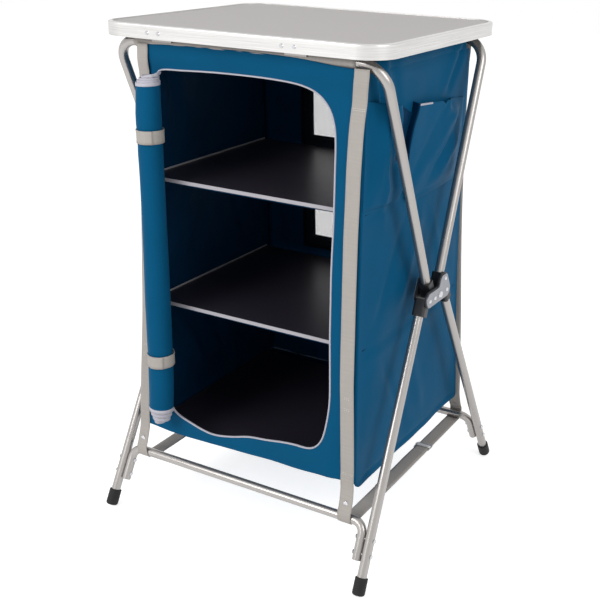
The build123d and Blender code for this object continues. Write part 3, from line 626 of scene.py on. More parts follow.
def effect_finish(name, effect_name, values, bump, distance, stretch=None, **settings):
    """Material whose colour, roughness and bumps come from an effect with its own values.

    Woven finishes follow the cloth's flat shape, the others their object.
    """
    tree, shader = blank(name, **settings)
    node = tree.nodes.new("ShaderNodeGroup")
    node.node_tree = EFFECTS[effect_name]
    for socket, value in values.items():
        feed(tree, value, node.inputs[socket])
    vector = coordinates(tree, "UV" if effect_name in ("canvas_weave", "webbing_ribs") else "Object")
    tree.links.new(stretched(tree, vector, stretch) if stretch else vector, node.inputs["Vector"])
    tree.links.new(node.outputs["Color"], shader.inputs["Base Color"])
    if "Roughness" in node.outputs:
        tree.links.new(node.outputs["Roughness"], shader.inputs["Roughness"])
    relief = tree.nodes.new("ShaderNodeBump")
    relief.inputs["Strength"].default_value = bump
    relief.inputs["Distance"].default_value = distance
    tree.links.new(node.outputs["Height"], relief.inputs["Height"])
    tree.links.new(relief.outputs[0], shader.inputs["Normal"])


def canvas_finish(name, tone, unevenness, sheen, specular, thread=0.0011):
    """Woven, coated canvas, whose gloss and sheen keep to the blue of its coating."""
    values = {"Color": tone, "Thread": thread, "Unevenness": unevenness}
    effect_finish(name, "canvas_weave", values, 0.25, 0.0004,
                  Sheen_Weight=sheen, Sheen_Roughness=0.5, Sheen_Tint=(0.25, 0.5, 0.75, 1),
                  Specular_IOR_Level=specular, Specular_Tint=(0.3, 0.65, 1.0, 1))


def webbing_finish(name, tone, rib, soil=0.07):
    """Ribbed polyester webbing or tape."""
    effect_finish(name, "webbing_ribs", {"Color": tone, "Rib": rib, "Soil": soil}, 0.35, 0.0004,
                  Roughness=0.72, Sheen_Weight=0.05, Specular_IOR_Level=0.2)


def metal_finish(name, tone, stretch, depth, roughness, metallic):
    """Drawn or brushed metal, its lines stretched along the given scale."""
    values = {"Color": tone, "Depth": depth, "Base Roughness": roughness}
    effect_finish(name, "drawn_lines", values, 0.05, 0.0003, stretch, Metallic=metallic)


def grain_finish(name, tone, speck, grain, marks, roughness, bump, specular=0.5):
    """Moulded plastic, rubber or laminate."""
    values = {"Color": tone, "Speck Color": speck, "Grain": grain, "Marks": marks,
              "Base Roughness": roughness}
    effect_finish(name, "surface_grain", values, bump, 0.0005, Specular_IOR_Level=specular)


def mesh_finish(name, tone, spacing):
    """Open window net: dark threads at a spacing, with holes between them."""
    tree, shader = blank(name, Base_Color=(*tone, 1), Roughness=0.8)
    vector = coordinates(tree, "UV")
    thread = math(tree, "MAXIMUM", *(waves(tree, vector, axis, spacing) for axis in (0, 1)))
    tree.links.new(ranged(tree, thread, 0.90, 0.96), shader.inputs["Alpha"])
    fuzz = cloudy(tree, vector, 300, 2)
    tree.links.new(tint(tree, fuzz, tone, srgb(46, 48, 54)), shader.inputs["Base Color"])


def make_finishes(context):
    """All effects and materials, from the settings."""
    scene = context.scene
    fabric = scene.cupboard_fabric
    webbing = scene.cupboard_webbing
    metal = scene.cupboard_metal
    boards = scene.cupboard_boards
    for maker in (canvas_effect, webbing_effect, brushed_effect, grain_effect):
        maker()
    canvas_finish("blue_canvas", tuple(fabric.canvas), 0.22, 0.04, 0.06)
    # Dark lining, partly the coating's own colour and partly painted shade; it also stands for shade on the
    # slings and in the pocket folds
    canvas_finish("canvas_lining", tuple(fabric.lining), 0.30, 0.0, 0.10)
    canvas_finish("window_tape", tuple(fabric.border), 0.2, 0.0, 0.2, 0.0014)
    webbing_finish("grey_webbing", tuple(webbing.webbing), webbing.rib_spacing)
    webbing_finish("light_binding", tuple(fabric.binding), 0.0011, 0.06)
    webbing_finish("sewing_thread", tuple(webbing.thread), 0.0008, 0.02)
    for name, tone, stretch, depth, roughness, metallic in (
        ("bright_trim", tuple(metal.trim), (9, 9, 1100), 0.26, 0.30, 0.85),
        ("satin_tube", tuple(metal.tube), (300, 300, 60), 0.02, 0.27, 0.80),
        ("stamped_plate", tuple(metal.plate), (500, 500, 500), 0.16, 0.38, 0.85),
        ("rivet_metal", srgb(205, 205, 208), (400, 400, 400), 0.12, 0.24, 1.0),
        ("buckle_metal", srgb(190, 190, 190), (300, 300, 300), 0.10, 0.30, 0.45),
        ("buckle_bar", srgb(240, 240, 240), (300, 300, 300), 0.06, 0.30, 0.1),
    ):
        metal_finish(name, tone, stretch, depth, roughness, metallic)
    grain_finish("worktop_laminate", tuple(boards.worktop), srgb(196, 193, 191), 700.0, 0.5, 0.42, 0.05, 0.3)
    grain_finish("shelf_board", tuple(boards.shelf), srgb(44, 44, 50), 500.0, 0.35, 0.34, 0.08)
    grain_finish("light_edging", srgb(176, 174, 180), srgb(206, 204, 210), 600.0, 0.4, 0.45, 0.05)
    grain_finish("black_plastic", srgb(22, 23, 26), srgb(58, 60, 64), 800.0, 0.4, 0.42, 0.15)
    grain_finish("black_rubber", srgb(17, 17, 18), srgb(60, 58, 56), 650.0, 0.45, 0.62, 0.25, 0.35)
    mesh_finish("window_net", srgb(24, 25, 29), 0.0022)


def dress(finish, *names):
    """Give CAD nodes a finish through their object's material slots."""
    for name in names:
        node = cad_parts[name]
        if not node.material_slots:
            node.data.materials.append(None)
        for slot in node.material_slots:
            slot.link = "OBJECT"
            slot.material = FINISHES[finish]


def settle(piece, body, slot, *nodes):
    """Piece rides on a body and stands for CAD nodes; its slot argument is not used."""
    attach(piece, body)
    if nodes:
        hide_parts(*nodes)
    return piece


def fold_flat(piece):
    """Piece gets a mesh of its own."""
    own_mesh(piece)


# Stage


CAMERA_AZIMUTH = radians(27.906)
CAMERA_ELEVATION = radians(20.505)
CAMERA_ROLL = radians(1.331)
CAMERA_PLACE = (1.05245, -1.65996, 1.21386)
CAMERA_LENS = 59.78
CAMERA_SHIFT = (-0.13345, -0.03174)
FLOOR_HALF = 9.0
FLOOR_GAP = 0.0005


def background_share(tree):
    """1 for rays of the camera and of mirror-like surfaces, 0 for those that light the object."""
    path = tree.nodes.new("ShaderNodeLightPath")
    seen = math(tree, "MAXIMUM", path.outputs["Is Camera Ray"], path.outputs["Is Glossy Ray"])
    return math(tree, "MAXIMUM", seen, path.outputs["Is Transmission Ray"])


def add_lamp(name, place, target, size, power):
    """Soft square lamp that looks at a point."""
    light = bpy.data.lights.new(name, "AREA")
    light.size = size
    light.energy = power
    lamp = bpy.data.objects.new(name, light)
    lamp.location = place
    lamp.rotation_euler = (Vector(target) - Vector(place)).to_track_quat("-Z", "Y").to_euler()
    bpy.context.scene.collection.objects.link(lamp)


class CUPBOARD_OT_stage(bpy.types.Operator):
    """Camera, pale floor, soft lamps and surroundings"""

    bl_idname = "cupboard.stage"
    bl_label = "Stage"

    def execute(self, context):
        settings = context.scene.cupboard_stage
        camera_data = bpy.data.cameras.new("photo_view")
        camera_data.lens = CAMERA_LENS
        camera_data.shift_x, camera_data.shift_y = CAMERA_SHIFT
        camera = bpy.data.objects.new("photo_view", camera_data)
        turn = Matrix.Rotation(CAMERA_AZIMUTH, 4, "Z") @ Matrix.Rotation(pi / 2 - CAMERA_ELEVATION, 4, "X")
        camera.matrix_world = Matrix.Translation(CAMERA_PLACE) @ turn @ Matrix.Rotation(CAMERA_ROLL, 4, "Z")
        context.scene.collection.objects.link(camera)
        context.scene.camera = camera

        tree, shader = blank("pale_floor", Roughness=0.85, Specular_IOR_Level=0.2, Emission_Strength=0.66)
        spots = ranged(tree, cloudy(tree, coordinates(tree, "Object"), 3, 3), 0.3, 0.7)
        light = tuple(settings.floor)
        darker = tuple(0.985 * c for c in light)
        tree.links.new(tint(tree, spots, light, darker), shader.inputs["Base Color"])
        glow = tint(tree, background_share(tree), (0, 0, 0), (1, 1, 1))
        tree.links.new(glow, shader.inputs["Emission Color"])
        corners = [(x * FLOOR_HALF, y * FLOOR_HALF, 0) for x, y in ((-1, -1), (1, -1), (1, 1), (-1, 1))]
        floor = new_piece("floor", corners, [(0, 1, 2, 3)], ["pale_floor"])
        floor.location.z = -FLOOR_GAP

        world = bpy.data.worlds.new("studio")
        world.use_nodes = True
        context.scene.world = world
        tree = world.node_tree
        level = tint(tree, background_share(tree), (settings.sky,) * 3, (1.0, 1.0, 1.0))
        tree.links.new(level, tree.nodes["Background"].inputs["Color"])

        add_lamp("key_lamp", (-1.1, -2.8, 2.1), (0, 0, 0.65), 1.7, settings.key_power)
        add_lamp("fill_lamp", (2.6, -0.6, 2.0), (0, 0, 0.70), 1.5, settings.fill_power)
        context.scene.view_settings.view_transform = "Standard"
        return {"FINISHED"}


# Rigid parts


class CUPBOARD_OT_worktop(bpy.types.Operator):
    """Laminate board, brushed edge trim, saddles and their rivets"""

    bl_idname = "cupboard.worktop"
    bl_label = "Worktop"

    def execute(self, context):
        dress("worktop_laminate", "worktop_board")
        dress("bright_trim", "worktop_edge_trim")
        dress("satin_tube", "worktop_saddles")
        dress("rivet_metal", "worktop_rivets")
        return {"FINISHED"}


class CUPBOARD_OT_frames(bpy.types.Operator):
    """Tubes, legs, crossbars, rivets and foot caps of the two folding frames"""

    bl_idname = "cupboard.frames"
    bl_label = "Folding frames"

    def execute(self, context):
        for end in ("front", "rear"):
            dress("satin_tube", f"{end}_top_tube", f"{end}_crossbar", f"{end}_left_leg", f"{end}_right_leg")
            dress("rivet_metal", f"{end}_crossbar_rivets")
            dress("black_rubber", f"{end}_left_foot_cap", f"{end}_right_foot_cap")
        return {"FINISHED"}


class CUPBOARD_OT_hubs(bpy.types.Operator):
    """Plastic links, steel crescents, rivets and pivots of the hubs"""

    bl_idname = "cupboard.hubs"
    bl_label = "Hubs"

    def execute(self, context):
        for layer in ("inner", "outer"):
            dress("black_plastic", f"left_{layer}_hub_link", f"right_{layer}_hub_link")
            dress("stamped_plate", f"left_{layer}_hub_plate", f"right_{layer}_hub_plate")
            dress("rivet_metal", f"{layer}_hub_rivets")
        dress("rivet_metal", "hub_pivot_pins")
        dress("black_plastic", "hub_spacers")
        return {"FINISHED"}


class CUPBOARD_OT_shelves(bpy.types.Operator):
    """Shelf boards and their light edging"""

    bl_idname = "cupboard.shelves"
    bl_label = "Shelves"

    def execute(self, context):
        dress("shelf_board", "bottom_shelf_board", "middle_shelf_board", "top_shelf_board")
        dress("shelf_board", "bottom_shelf_strip")
        dress("light_edging", "middle_shelf_strip", "top_shelf_strip")
        return {"FINISHED"}


# Cabinet cloth


def side_edge(z, end=FRONT):
    """Half depth of a side panel at a height: rounded at the bottom corners, notched under the tubes."""
    edge = panel_y(z) - 0.0010 - waist(z)
    radius = 0.026 if end == FRONT else 0.007
    if z < CABINET_BOTTOM + radius:
        drop = CABINET_BOTTOM + radius - z
        edge -= radius - sqrt(max(radius * radius - drop * drop, 0.0))
    return edge - (edge - NOTCH_Y) * ease(NOTCH_Z - 0.001, NOTCH_Z + 0.001, z)


# Creases of the side panels: rise, y of the middle and how it moves with the height above a level, width,
# and the heights between which each grows and then fades
LASTING = (1.0, 1.1)
SIDE_CREASES = (
    (0.0075, -0.186, -0.18, 0.960, 0.009, (0.62, 0.84), LASTING),
    (-0.0056, -0.166, -0.216, 0.960, 0.009, (0.64, 0.86), LASTING),
    (0.0062, -0.143, -0.27, 0.960, 0.012, (0.66, 0.88), LASTING),
    (-0.0040, -0.112, -0.288, 0.960, 0.014, (0.74, 0.93), LASTING),
    (-0.0052, 0.190, 0.85, 0.965, 0.011, (0.87, 0.90), LASTING),
    (0.0040, 0.160, 0.85, 0.965, 0.016, (0.87, 0.90), LASTING),
    (0.0040, 0.02, -0.35, 0.30, 0.018, (0.19, 0.26), (0.36, 0.44)),
    (-0.0034, -0.07, -0.55, 0.30, 0.014, (0.19, 0.26), (0.36, 0.44)),
    (0.0044, -0.03, 0.50, 0.57, 0.020, (0.47, 0.54), (0.62, 0.69)),
    (-0.0036, -0.11, 0.62, 0.57, 0.014, (0.47, 0.54), (0.62, 0.69)),
    (0.0036, 0.10, -0.45, 0.58, 0.016, (0.47, 0.53), (0.62, 0.68)),
)

# Seams and lines where the boards press, as (rise, height, width)
SIDE_SEAMS = (
    (0.0024, 0.430, 0.016), (-0.0026, 0.706, 0.006), (-0.0026, 0.184, 0.006), (-0.0024, 0.9545, 0.003),
)


def side_bulge(y, z, hand):
    """How far a side panel stands out from its plane, from slack, creases and the shelves' pull."""
    near_edge = 1 - ease(0.0, 0.045, side_edge(z, FRONT if y < 0 else REAR) - abs(y))
    out = 0.0030 * ripple(y, hand, z, 0.16, 1.7) + 0.0014 * ripple(y, hand, z, 0.055, 4.1)
    for rise, middle, slope, level, width, grows, fades in SIDE_CREASES:
        along = ease(*grows, z) * (1 - ease(*fades, z))
        out += rise * fold(y, middle + slope * (z - level), width) * along
    for rise, level, width in SIDE_SEAMS:
        out += rise * fold(z, level, width)
    out -= 0.0034 * fold(z, 0.447, 0.006) * (0.6 + 0.4 * ripple(y, 0, z, 0.08, 2.2))
    return out * (1 - near_edge) * slack()


def side_x(y, z, hand):
    """Middle of a side panel's cloth."""
    flat = CABINET_HALF + HALF_CLOTH
    if hand == LEFT:
        flat -= 0.0150 * ease(0.73, 0.93, z) * (1 - ease(-0.05, 0.15, y))
    end = FRONT if y < 0 else REAR
    pull = 1 - ease(0.0, 0.07, side_edge(z, end) - abs(y))
    return hand * (flat - (flat - corner_x(z, hand, end)) * pull + side_bulge(y, z, hand))


SIDE_ROWS = (
    [CABINET_BOTTOM + d for d in (0.0, 0.0006, 0.0018, 0.0036, 0.006, 0.009, 0.0125, 0.0165, 0.0205)]
    + spread(86, 0.200, 0.954) + [0.9553, 0.9567] + spread(4, 0.960, SIDE_TOP)
)


class CUPBOARD_OT_side_panels(bpy.types.Operator):
    """Left and right cloth sides with folds and seams"""

    bl_idname = "cupboard.side_panels"
    bl_label = "Side panels"

    def execute(self, context):
        thick = context.scene.cupboard_fabric.cloth_thickness
        columns = spread(61, -1, 1)
        hem = [thick * (1.5 if abs(f) > 0.955 or z < 0.182 else 1) for z in SIDE_ROWS for f in columns]
        for name, hand in (("left", LEFT), ("right", RIGHT)):

            def point(z, f):
                y = f * side_edge(z, FRONT if f < 0 else REAR)
                return Vector((side_x(y, z, hand), y, z))

            panel = grid_cloth(f"{name}_side_cloth", SIDE_ROWS, columns, point, "yz", hem, CLOTH_FACES,
                               (hand, 0, 0), lining=1)
            settle(panel, "cabinet", "blue_canvas", f"{name}_side_panel")
            fold_flat(panel)
        return {"FINISHED"}


def sleeve_hug(z):
    """How far the upper part of the front and back cloths comes forward to the sleeve."""
    return (SLEEVE_Y + 0.0112 - PANEL_TOP_Y) * ease(0.918, 0.958, z)


def front_face(x, z):
    """Distance of the front cloth's middle from the cabinet's middle."""
    hand = LEFT if x < 0 else RIGHT
    base = panel_y(z) - HALF_CLOTH + sleeve_hug(z) - waist(z) * corner_share(x, z, hand, FRONT)
    wave = 0.0018 * ripple(x, 0, z, 0.11, 6.3) * (1 - ease(0.90, 0.95, z))
    wave += 0.0012 * fold(x, 0.12, 0.05) * fold(z, 0.945, 0.02)
    low = (1 - ease(0.178, 0.235, z)) * (1 - ease(0.17, 0.20, abs(x)))
    wave += 0.0048 * ripple(x, 0, 0.2, 0.085, 3.4) * low
    wave += 0.0022 * fold(z - 0.25 * (x - 0.22), 0.205, 0.012) * ease(0.06, 0.19, x)
    under_strap = ease(-0.024, -0.004, abs(x) - abs(strap_centre(z, hand, FRONT)) + STRAP_WIDTH / 2)
    return base + wave * (1 - under_strap) * slack() - 0.0004 * under_strap


# Height of the front hem, and of the front cloth's sewn top edge on the sleeve, as (x, height)
FRONT_HEM = (
    (-0.25, 0.1815), (-0.16, 0.1762), (-0.02, 0.1825), (0.13, 0.1848), (0.20, 0.1880), (0.24, 0.1895),
)
FRONT_EDGE = ((-0.235, 0.9715), (-0.15, 0.9745), (0.0, 0.9765), (0.12, 0.9745), (0.235, 0.9660))

# Box of the front cloth before it's fitted to its hem, top edge and corners
FRONT_LOW = 0.18
FRONT_HIGH = 0.97
DOOR_MIDDLE = Vector((0.0, 0.575))


def front_share(spot):
    """Where a line from the door's middle through spot leaves the front's box, as shares of its size."""
    step = (spot - DOOR_MIDDLE).normalized()
    edge_x = NOMINAL_HALF if step.x > 0 else -NOMINAL_HALF
    edge_z = FRONT_HIGH if step.y > 0 else FRONT_LOW
    across = abs((edge_x - DOOR_MIDDLE.x) / (step.x or 1e-9))
    upright = abs((edge_z - DOOR_MIDDLE.y) / (step.y or 1e-9))
    flat = DOOR_MIDDLE + step * min(across, upright)
    return flat.x / NOMINAL_HALF, (flat.y - FRONT_LOW) / (FRONT_HIGH - FRONT_LOW)


def front_outline(share_x, share_z):
    """Point of the front cloth's outer edge from shares of its width and height."""
    z_low = between(FRONT_HEM, share_x * NOMINAL_HALF)
    z_high = between(FRONT_EDGE, share_x * SLEEVE_HALF)
    z = z_low + (z_high - z_low) * share_z
    corner = corner_x(z, LEFT if share_x < 0 else RIGHT, FRONT)
    half = corner - max(corner - SLEEVE_HALF, 0.0) * ease(0.935, 0.958, z)
    return Vector((share_x * half, z))


class CUPBOARD_OT_front_panel(bpy.types.Operator):
    """Front cloth round the door opening and the light piping on its edge"""

    bl_idname = "cupboard.front_panel"
    bl_label = "Front panel"

    def execute(self, context):
        thick = context.scene.cupboard_fabric.cloth_thickness
        count = 260
        inner = smooth_loop(DOOR_LINE, count)
        outer = [front_outline(*front_share(spot)) for spot in inner]
        for share_x in (-1, 1):
            for share_z in (0, 1):
                corner = front_outline(share_x, share_z)
                nearest = min(range(count), key=lambda k: (outer[k] - corner).length)
                outer[nearest] = corner
        steps = (0.0, 0.04, 0.10, 0.18, 0.28, 0.39, 0.50, 0.61, 0.72, 0.82, 0.90, 0.96, 1.0)
        points = []
        for step in steps:
            for near, far in zip(inner, outer):
                spot = near.lerp(far, step)
                points.append(Vector((spot.x, -front_face(spot.x, spot.y), spot.y)))
        uvs = [(p.x, p.z) for p in points]
        panel = cloth("front_cloth", points, ring_quads(len(steps), count), thick, CLOTH_FACES, uvs,
                      (0, -1, 0), lining=1)
        settle(panel, "cabinet_front", "blue_canvas", "front_panel")

        count = 320
        line = smooth_loop(DOOR_LINE, count)
        centre = [Vector((p.x, -front_face(p.x, p.y) - 0.0004, p.y)) for p in line]
        inset = []
        for k, spot in enumerate(centre):
            along = (centre[(k + 1) % count] - centre[k - 1]).normalized()
            inset.append(spot + along.cross(Vector((0, -1, 0))).normalized() * 0.0012)
        piping = rod("door_binding", inset, (0.0017, 0.0026), "light_binding", True, (0, -1, 0))
        settle(piping, "cabinet_front", "light_piping", "door_piping")
        return {"FINISHED"}


def back_face(x, z):
    """Distance of the back cloth's middle from the cabinet's middle."""
    wave = 0.0024 * ripple(x, 1, z, 0.13, 9.1) + 0.0012 * ripple(x, 1, z, 0.05, 5.2)
    seam = -0.0022 * fold(z, 0.453, 0.006) - 0.0020 * fold(z, 0.184, 0.006)
    edge = ease(0.0, 0.03, NOMINAL_HALF - abs(x)) * (1 - ease(0.90, 0.95, z))
    drawn = waist(z) * corner_share(x, z)
    near_window = 1.0
    for low, high in WINDOW_SPANS:
        beside = abs(x) - WINDOW_HALF
        above = abs(z - (low + high) / 2) - (high - low) / 2
        near_window = min(near_window, ease(0.0, 0.03, max(beside, above) - BORDER_WIDTH))
    return panel_y(z) - HALF_CLOTH + sleeve_hug(z) - drawn + (wave + seam) * edge * near_window * slack()


def back_line(lift):
    """Maker of points on the back cloth, a lift in front of its middle."""
    return lambda z, x: Vector((x, back_face(x, z) - lift, z))


def lines_with(stops, pitch):
    """Rising grid values that hit every stop and stay about a pitch apart."""
    values = []
    for low, high in zip(stops, stops[1:]):
        steps = max(round((high - low) / pitch), 1)
        values += [low + (high - low) * k / steps for k in range(steps)]
    return values + [stops[-1]]


def window_cells(zs, xs, half):
    """Test for the cells of a grid that lie inside a window."""
    def inside(j, i):
        middle = (zs[j] + zs[j + 1]) / 2
        return abs((xs[i] + xs[i + 1]) / 2) < half and any(low < middle < high for low, high in WINDOW_SPANS)
    return inside


class CUPBOARD_OT_back_panel(bpy.types.Operator):
    """Back cloth with two net windows and their dark borders"""

    bl_idname = "cupboard.back_panel"
    bl_label = "Back panel"

    def execute(self, context):
        thick = context.scene.cupboard_fabric.cloth_thickness
        xs = lines_with((-1.0, -WINDOW_SHARE, WINDOW_SHARE, 1.0), 0.045)
        zs = lines_with((0.1735, *WINDOW_SPANS[0], *WINDOW_SPANS[1], 0.9680), 0.011)
        on_cloth = back_line(0.0)

        def point(z, share):
            corner = corner_x(z)
            half = corner - (corner - SLEEVE_HALF) * ease(0.935, 0.958, z)
            return on_cloth(z, share * (half if abs(share) > WINDOW_SHARE + 0.01 else NOMINAL_HALF))

        panel = grid_cloth("back_cloth", zs, xs, point, "xz", thick, CLOTH_FACES, (0, 1, 0),
                           window_cells(zs, xs, WINDOW_SHARE), lining=1)
        settle(panel, "cabinet_back", "blue_canvas", "back_panel")

        def net_point(z, x):
            sag = 0.0016 * ripple(x, 2, z, 0.07, 8.0) * slack() * 0.4
            return Vector((x, back_face(x, z) - NET_GAP + sag, z))

        frames = []
        nets = []
        wide = WINDOW_HALF + BORDER_WIDTH
        reach = 0.008
        for number, (low, high) in enumerate(WINDOW_SPANS):
            xs = lines_with((-wide, -WINDOW_HALF, WINDOW_HALF, wide), 0.012)
            zs = lines_with((low - BORDER_WIDTH, low, high, high + BORDER_WIDTH), 0.012)
            frames.append(grid_cloth(f"border_{number}", zs, xs, back_line(BORDER_GAP), "xz", 0.0012,
                                     ["window_tape"], (0, -1, 0), window_cells(zs, xs, WINDOW_HALF)))
            xs = spread(25, -WINDOW_HALF - reach, WINDOW_HALF + reach)
            zs = spread(15, low - reach, high + reach)
            nets.append(grid_cloth(f"net_{number}", zs, xs, net_point, "xz", 0.0006, ["window_net"],
                                   (0, 1, 0)))
        borders = settle(joined("window_tapes", frames), "cabinet_back", "black_mesh", "window_borders")
        windows = settle(joined("window_nets", nets), "cabinet_back", "black_mesh", "window_meshes")
        return {"FINISHED"}


class CUPBOARD_OT_top_sleeves(bpy.types.Operator):
    """Grey sleeves round the two top tubes, which carry the cloth"""

    bl_idname = "cupboard.top_sleeves"
    bl_label = "Top sleeves"

    def execute(self, context):
        columns = spread(33)
        stations = spread(64, -SLEEVE_HALF, SLEEVE_HALF)
        for name, body, end in (("front", "cabinet_front", FRONT), ("rear", "cabinet_back", REAR)):
            points = []
            uvs = []
            for x in stations:
                for share in columns:
                    angle = 2 * pi * share
                    slackening = 0.5 + 0.5 * cos(angle)
                    radius = SLEEVE_MIDDLE_R + 0.0005 * slackening * ripple(x, angle, 0, 0.03, 2.0) * slack()
                    y = end * (SLEEVE_Y + radius * sin(angle))
                    points.append(Vector((x, y, SLEEVE_Z - radius * cos(angle))))
                    uvs.append((radius * angle, x))
            sleeve = cloth(f"{name}_top_sleeve_cloth", points, grid_quads(len(stations), len(columns)),
                           0.0011, ["grey_webbing"], uvs)
            settle(sleeve, body, "blue_canvas", f"{name}_top_sleeve")
        return {"FINISHED"}


def sling_point(top, deep, v, u):
    """Point of a shelf sling: shares v of its depth and u of its width."""
    x = u * (CABINET_HALF - 0.0014)
    y = v * deep
    sag = 0.0009 * (1 - v * v) + 0.0006 * (1 + ripple(x, y, top, 0.09, 5.0))
    return Vector((x, y, top - HALF_CLOTH - sag * slack() + 0.003 * ease(0.244, 0.248, abs(x))))


def floor_point(top, deep, v, u):
    """Point of the cabinet's floor, whose front rim rises to the hem."""
    x = u * (CABINET_HALF - 0.0014)
    y = v * deep
    sag = 0.0002 * (1 + ripple(x, y, top, 0.09, 5.0))
    sag -= (between(FRONT_HEM, x) + 0.0010 - top) * ease(0.207, 0.228, -y) / max(slack(), 0.1)
    return Vector((x, y, top - HALF_CLOTH - sag * slack()))


class CUPBOARD_OT_floor_and_slings(bpy.types.Operator):
    """Cloth floor and the two slings that carry the upper boards"""

    bl_idname = "cupboard.floor_and_slings"
    bl_label = "Floor and slings"

    def execute(self, context):
        # The slings take the dark lining on both sides: painted shade below the upper boards
        slung = (BOARD_HALF_Y, sling_point, "canvas_lining")
        layers = [(node, top, *slung) for node, top in SHELF_UNDERSIDES.items()]
        layers.append(("cabinet_floor", FLOOR_Z, panel_y(FLOOR_Z) - 0.003, floor_point, "blue_canvas"))
        for node, top, deep, shape, outside in layers:
            piece = grid_cloth(f"{node}_cloth", spread(37, -1, 1), spread(41, -1, 1),
                               lambda v, u: shape(top, deep, v, u), "xy", 0.0014, [outside, "canvas_lining"],
                               (0, 0, -1), lining=1)
            settle(piece, "cabinet", "blue_canvas", node)
            fold_flat(piece)
        return {"FINISHED"}


# Facing edges of the rear and the front side pocket, as (share up the pocket, y)
REAR_POCKET_FRONT = (
    (0.0, -0.036), (0.08, -0.054), (0.30, -0.070), (0.55, -0.070), (0.77, -0.062), (1.0, -0.041),
)
FRONT_POCKET_REAR = (
    (0.0, -0.082), (0.04, -0.075), (0.12, -0.071), (0.30, -0.070), (0.55, -0.069), (0.75, -0.061),
    (1.0, -0.042),
)
REAR_POCKET_REAR = 0.194
GUSSET = 0.10
BELLOWS_START = 0.62

# Creases of the rear pocket: rise, middle as a share of its body and how that moves up the pocket, width,
# and the shares between which it grows upwards and fades rearwards
POCKET_CREASES = (
    (0.0042, 0.42, 0.9, 0.09, (0.10, 0.5), (0.8, 1.0)),
    (-0.0052, 0.64, 0.9, 0.06, (0.05, 0.4), (0.9, 1.0)),
    (0.0030, 0.80, 0.9, 0.06, (0.05, 0.4), (0.9, 1.0)),
    (-0.0030, 0.22, 0.7, 0.06, (0.05, 0.4), LASTING),
)


def rear_pocket_point(s, t):
    """Point of the rear pocket: s from its front gusset to its rear seam, t up to its mouth."""
    front = between(REAR_POCKET_FRONT, t)
    low = 0.694 + 0.006 * s
    high = 0.8870 - 0.0245 * s - 0.0065 * fold(s, 0.55, 0.035)
    z = low + (high - low) * t
    body = max((s - GUSSET) / (1 - GUSSET), 0.0)
    y = front + (REAR_POCKET_REAR - front) * body
    stand = ease(0.0, 0.22, t) * (1 - ease(0.70, 1.0, body)) * (0.0075 + 0.0040 * t)
    for rise, middle, slope, width, grows, fades in POCKET_CREASES:
        along = ease(*grows, t) * (1 - ease(*fades, body))
        stand += rise * fold(body - slope * (t - 0.5), middle, width) * along
    stand += 0.0030 * ease(0.0, 0.03, t) * (1 - ease(0.75, 1.0, body))
    stand *= 1 - ease(0.60, 0.74, body) * ease(0.80, 0.97, t)
    stand += 0.0012 * ripple(y, 0, z, 0.04, 3.3) * ease(0.05, 0.3, t) * (1 - ease(0.8, 1.0, body))
    if s < GUSSET:
        share = ease(0.0, GUSSET, s)
        y = front + 0.004 * (1 - share)
        stand *= share
    return y, z, stand


def front_pocket_point(s, t):
    """Point of the front pocket: s from its front seam to its rear bellows, t up to its mouth."""
    rear = between(FRONT_POCKET_REAR, t)
    low = 0.721 - 0.010 * s + 0.010 * ease(0.86, 1.0, s)
    high = 0.9130 - 0.0330 * s - 0.0130 * ease(0.70, 1.0, s)
    z = low + (high - low) * t
    body = min(s / BELLOWS_START, 1.0)
    front = 0.0015 - side_edge(z)
    y = front + (rear - front) * s
    stand = ease(0.0, 0.20, t) * ease(0.05, 0.60, body) * (0.0060 + 0.0050 * t)
    stand += 0.0036 * fold(body, 0.40 + 0.10 * (1 - t), 0.10) * ease(0.1, 0.5, t)
    stand -= 0.0042 * fold(body, 0.62 + 0.12 * (1 - t), 0.08) * ease(0.1, 0.5, t)
    stand += 0.0032 * ease(0.0, 0.03, t) * ease(0.05, 0.35, body)
    stand += 0.0010 * ripple(y, 0, z, 0.04, 7.7) * ease(0.05, 0.3, t) * ease(0.0, 0.2, body)
    above = ease(0.38, 0.50, t)
    stand -= (stand - 0.0006) * ease(BELLOWS_START - 0.03, BELLOWS_START + 0.10, s) * above
    stand *= 1 - ease(0.93, 1.0, s) * (1 - above)
    return y, z, stand


class CUPBOARD_OT_side_pockets(bpy.types.Operator):
    """Two patch pockets on the right side, with open mouths, soft folds and painted shade along their gussets
    """

    bl_idname = "cupboard.side_pockets"
    bl_label = "Side pockets"

    def execute(self, context):
        columns = spread(57)
        rows = [0.0, 0.012, 0.03] + spread(34, 0.06, 0.965) + [0.982, 1.0]
        for name, shape, size, area in (
            ("rear", rear_pocket_point, (0.262, 0.182), 0.0474),
            ("front", front_pocket_point, (0.168, 0.194), 0.0290),
        ):
            rear = name == "rear"
            thick = [0.0022 if t > 0.95 and rear else 0.0013 for t in rows for _ in columns]

            def point(t, s):
                y, z, stand = shape(s, t)
                return Vector((side_x(y, z, RIGHT) + POCKET_GAP + max(stand, 0.0) * slack(), y, z))

            slots = []
            for t in rows[:-1]:
                for s in columns[:-1]:
                    tape = rear and t > 0.97 and 0.10 < s < 0.32
                    # The rear pocket's gusset and the front pocket's upper bellows take the dark lining:
                    # painted shade, partly the lining face of the folded gusset
                    painted_shade_strip = s < 0.095 if rear else s > BELLOWS_START and t > 0.44
                    slots.append(2 if tape else 1 if painted_shade_strip else 0)
            pocket = grid_cloth(f"{name}_pocket_cloth", rows, columns, point, "yz", thick,
                                (*CLOTH_FACES, "light_binding"), (1, 0, 0), slots=slots, lining=1)
            settle(pocket, "cabinet", "blue_canvas", f"{name}_side_pocket")
            fold_flat(pocket)
        return {"FINISHED"}


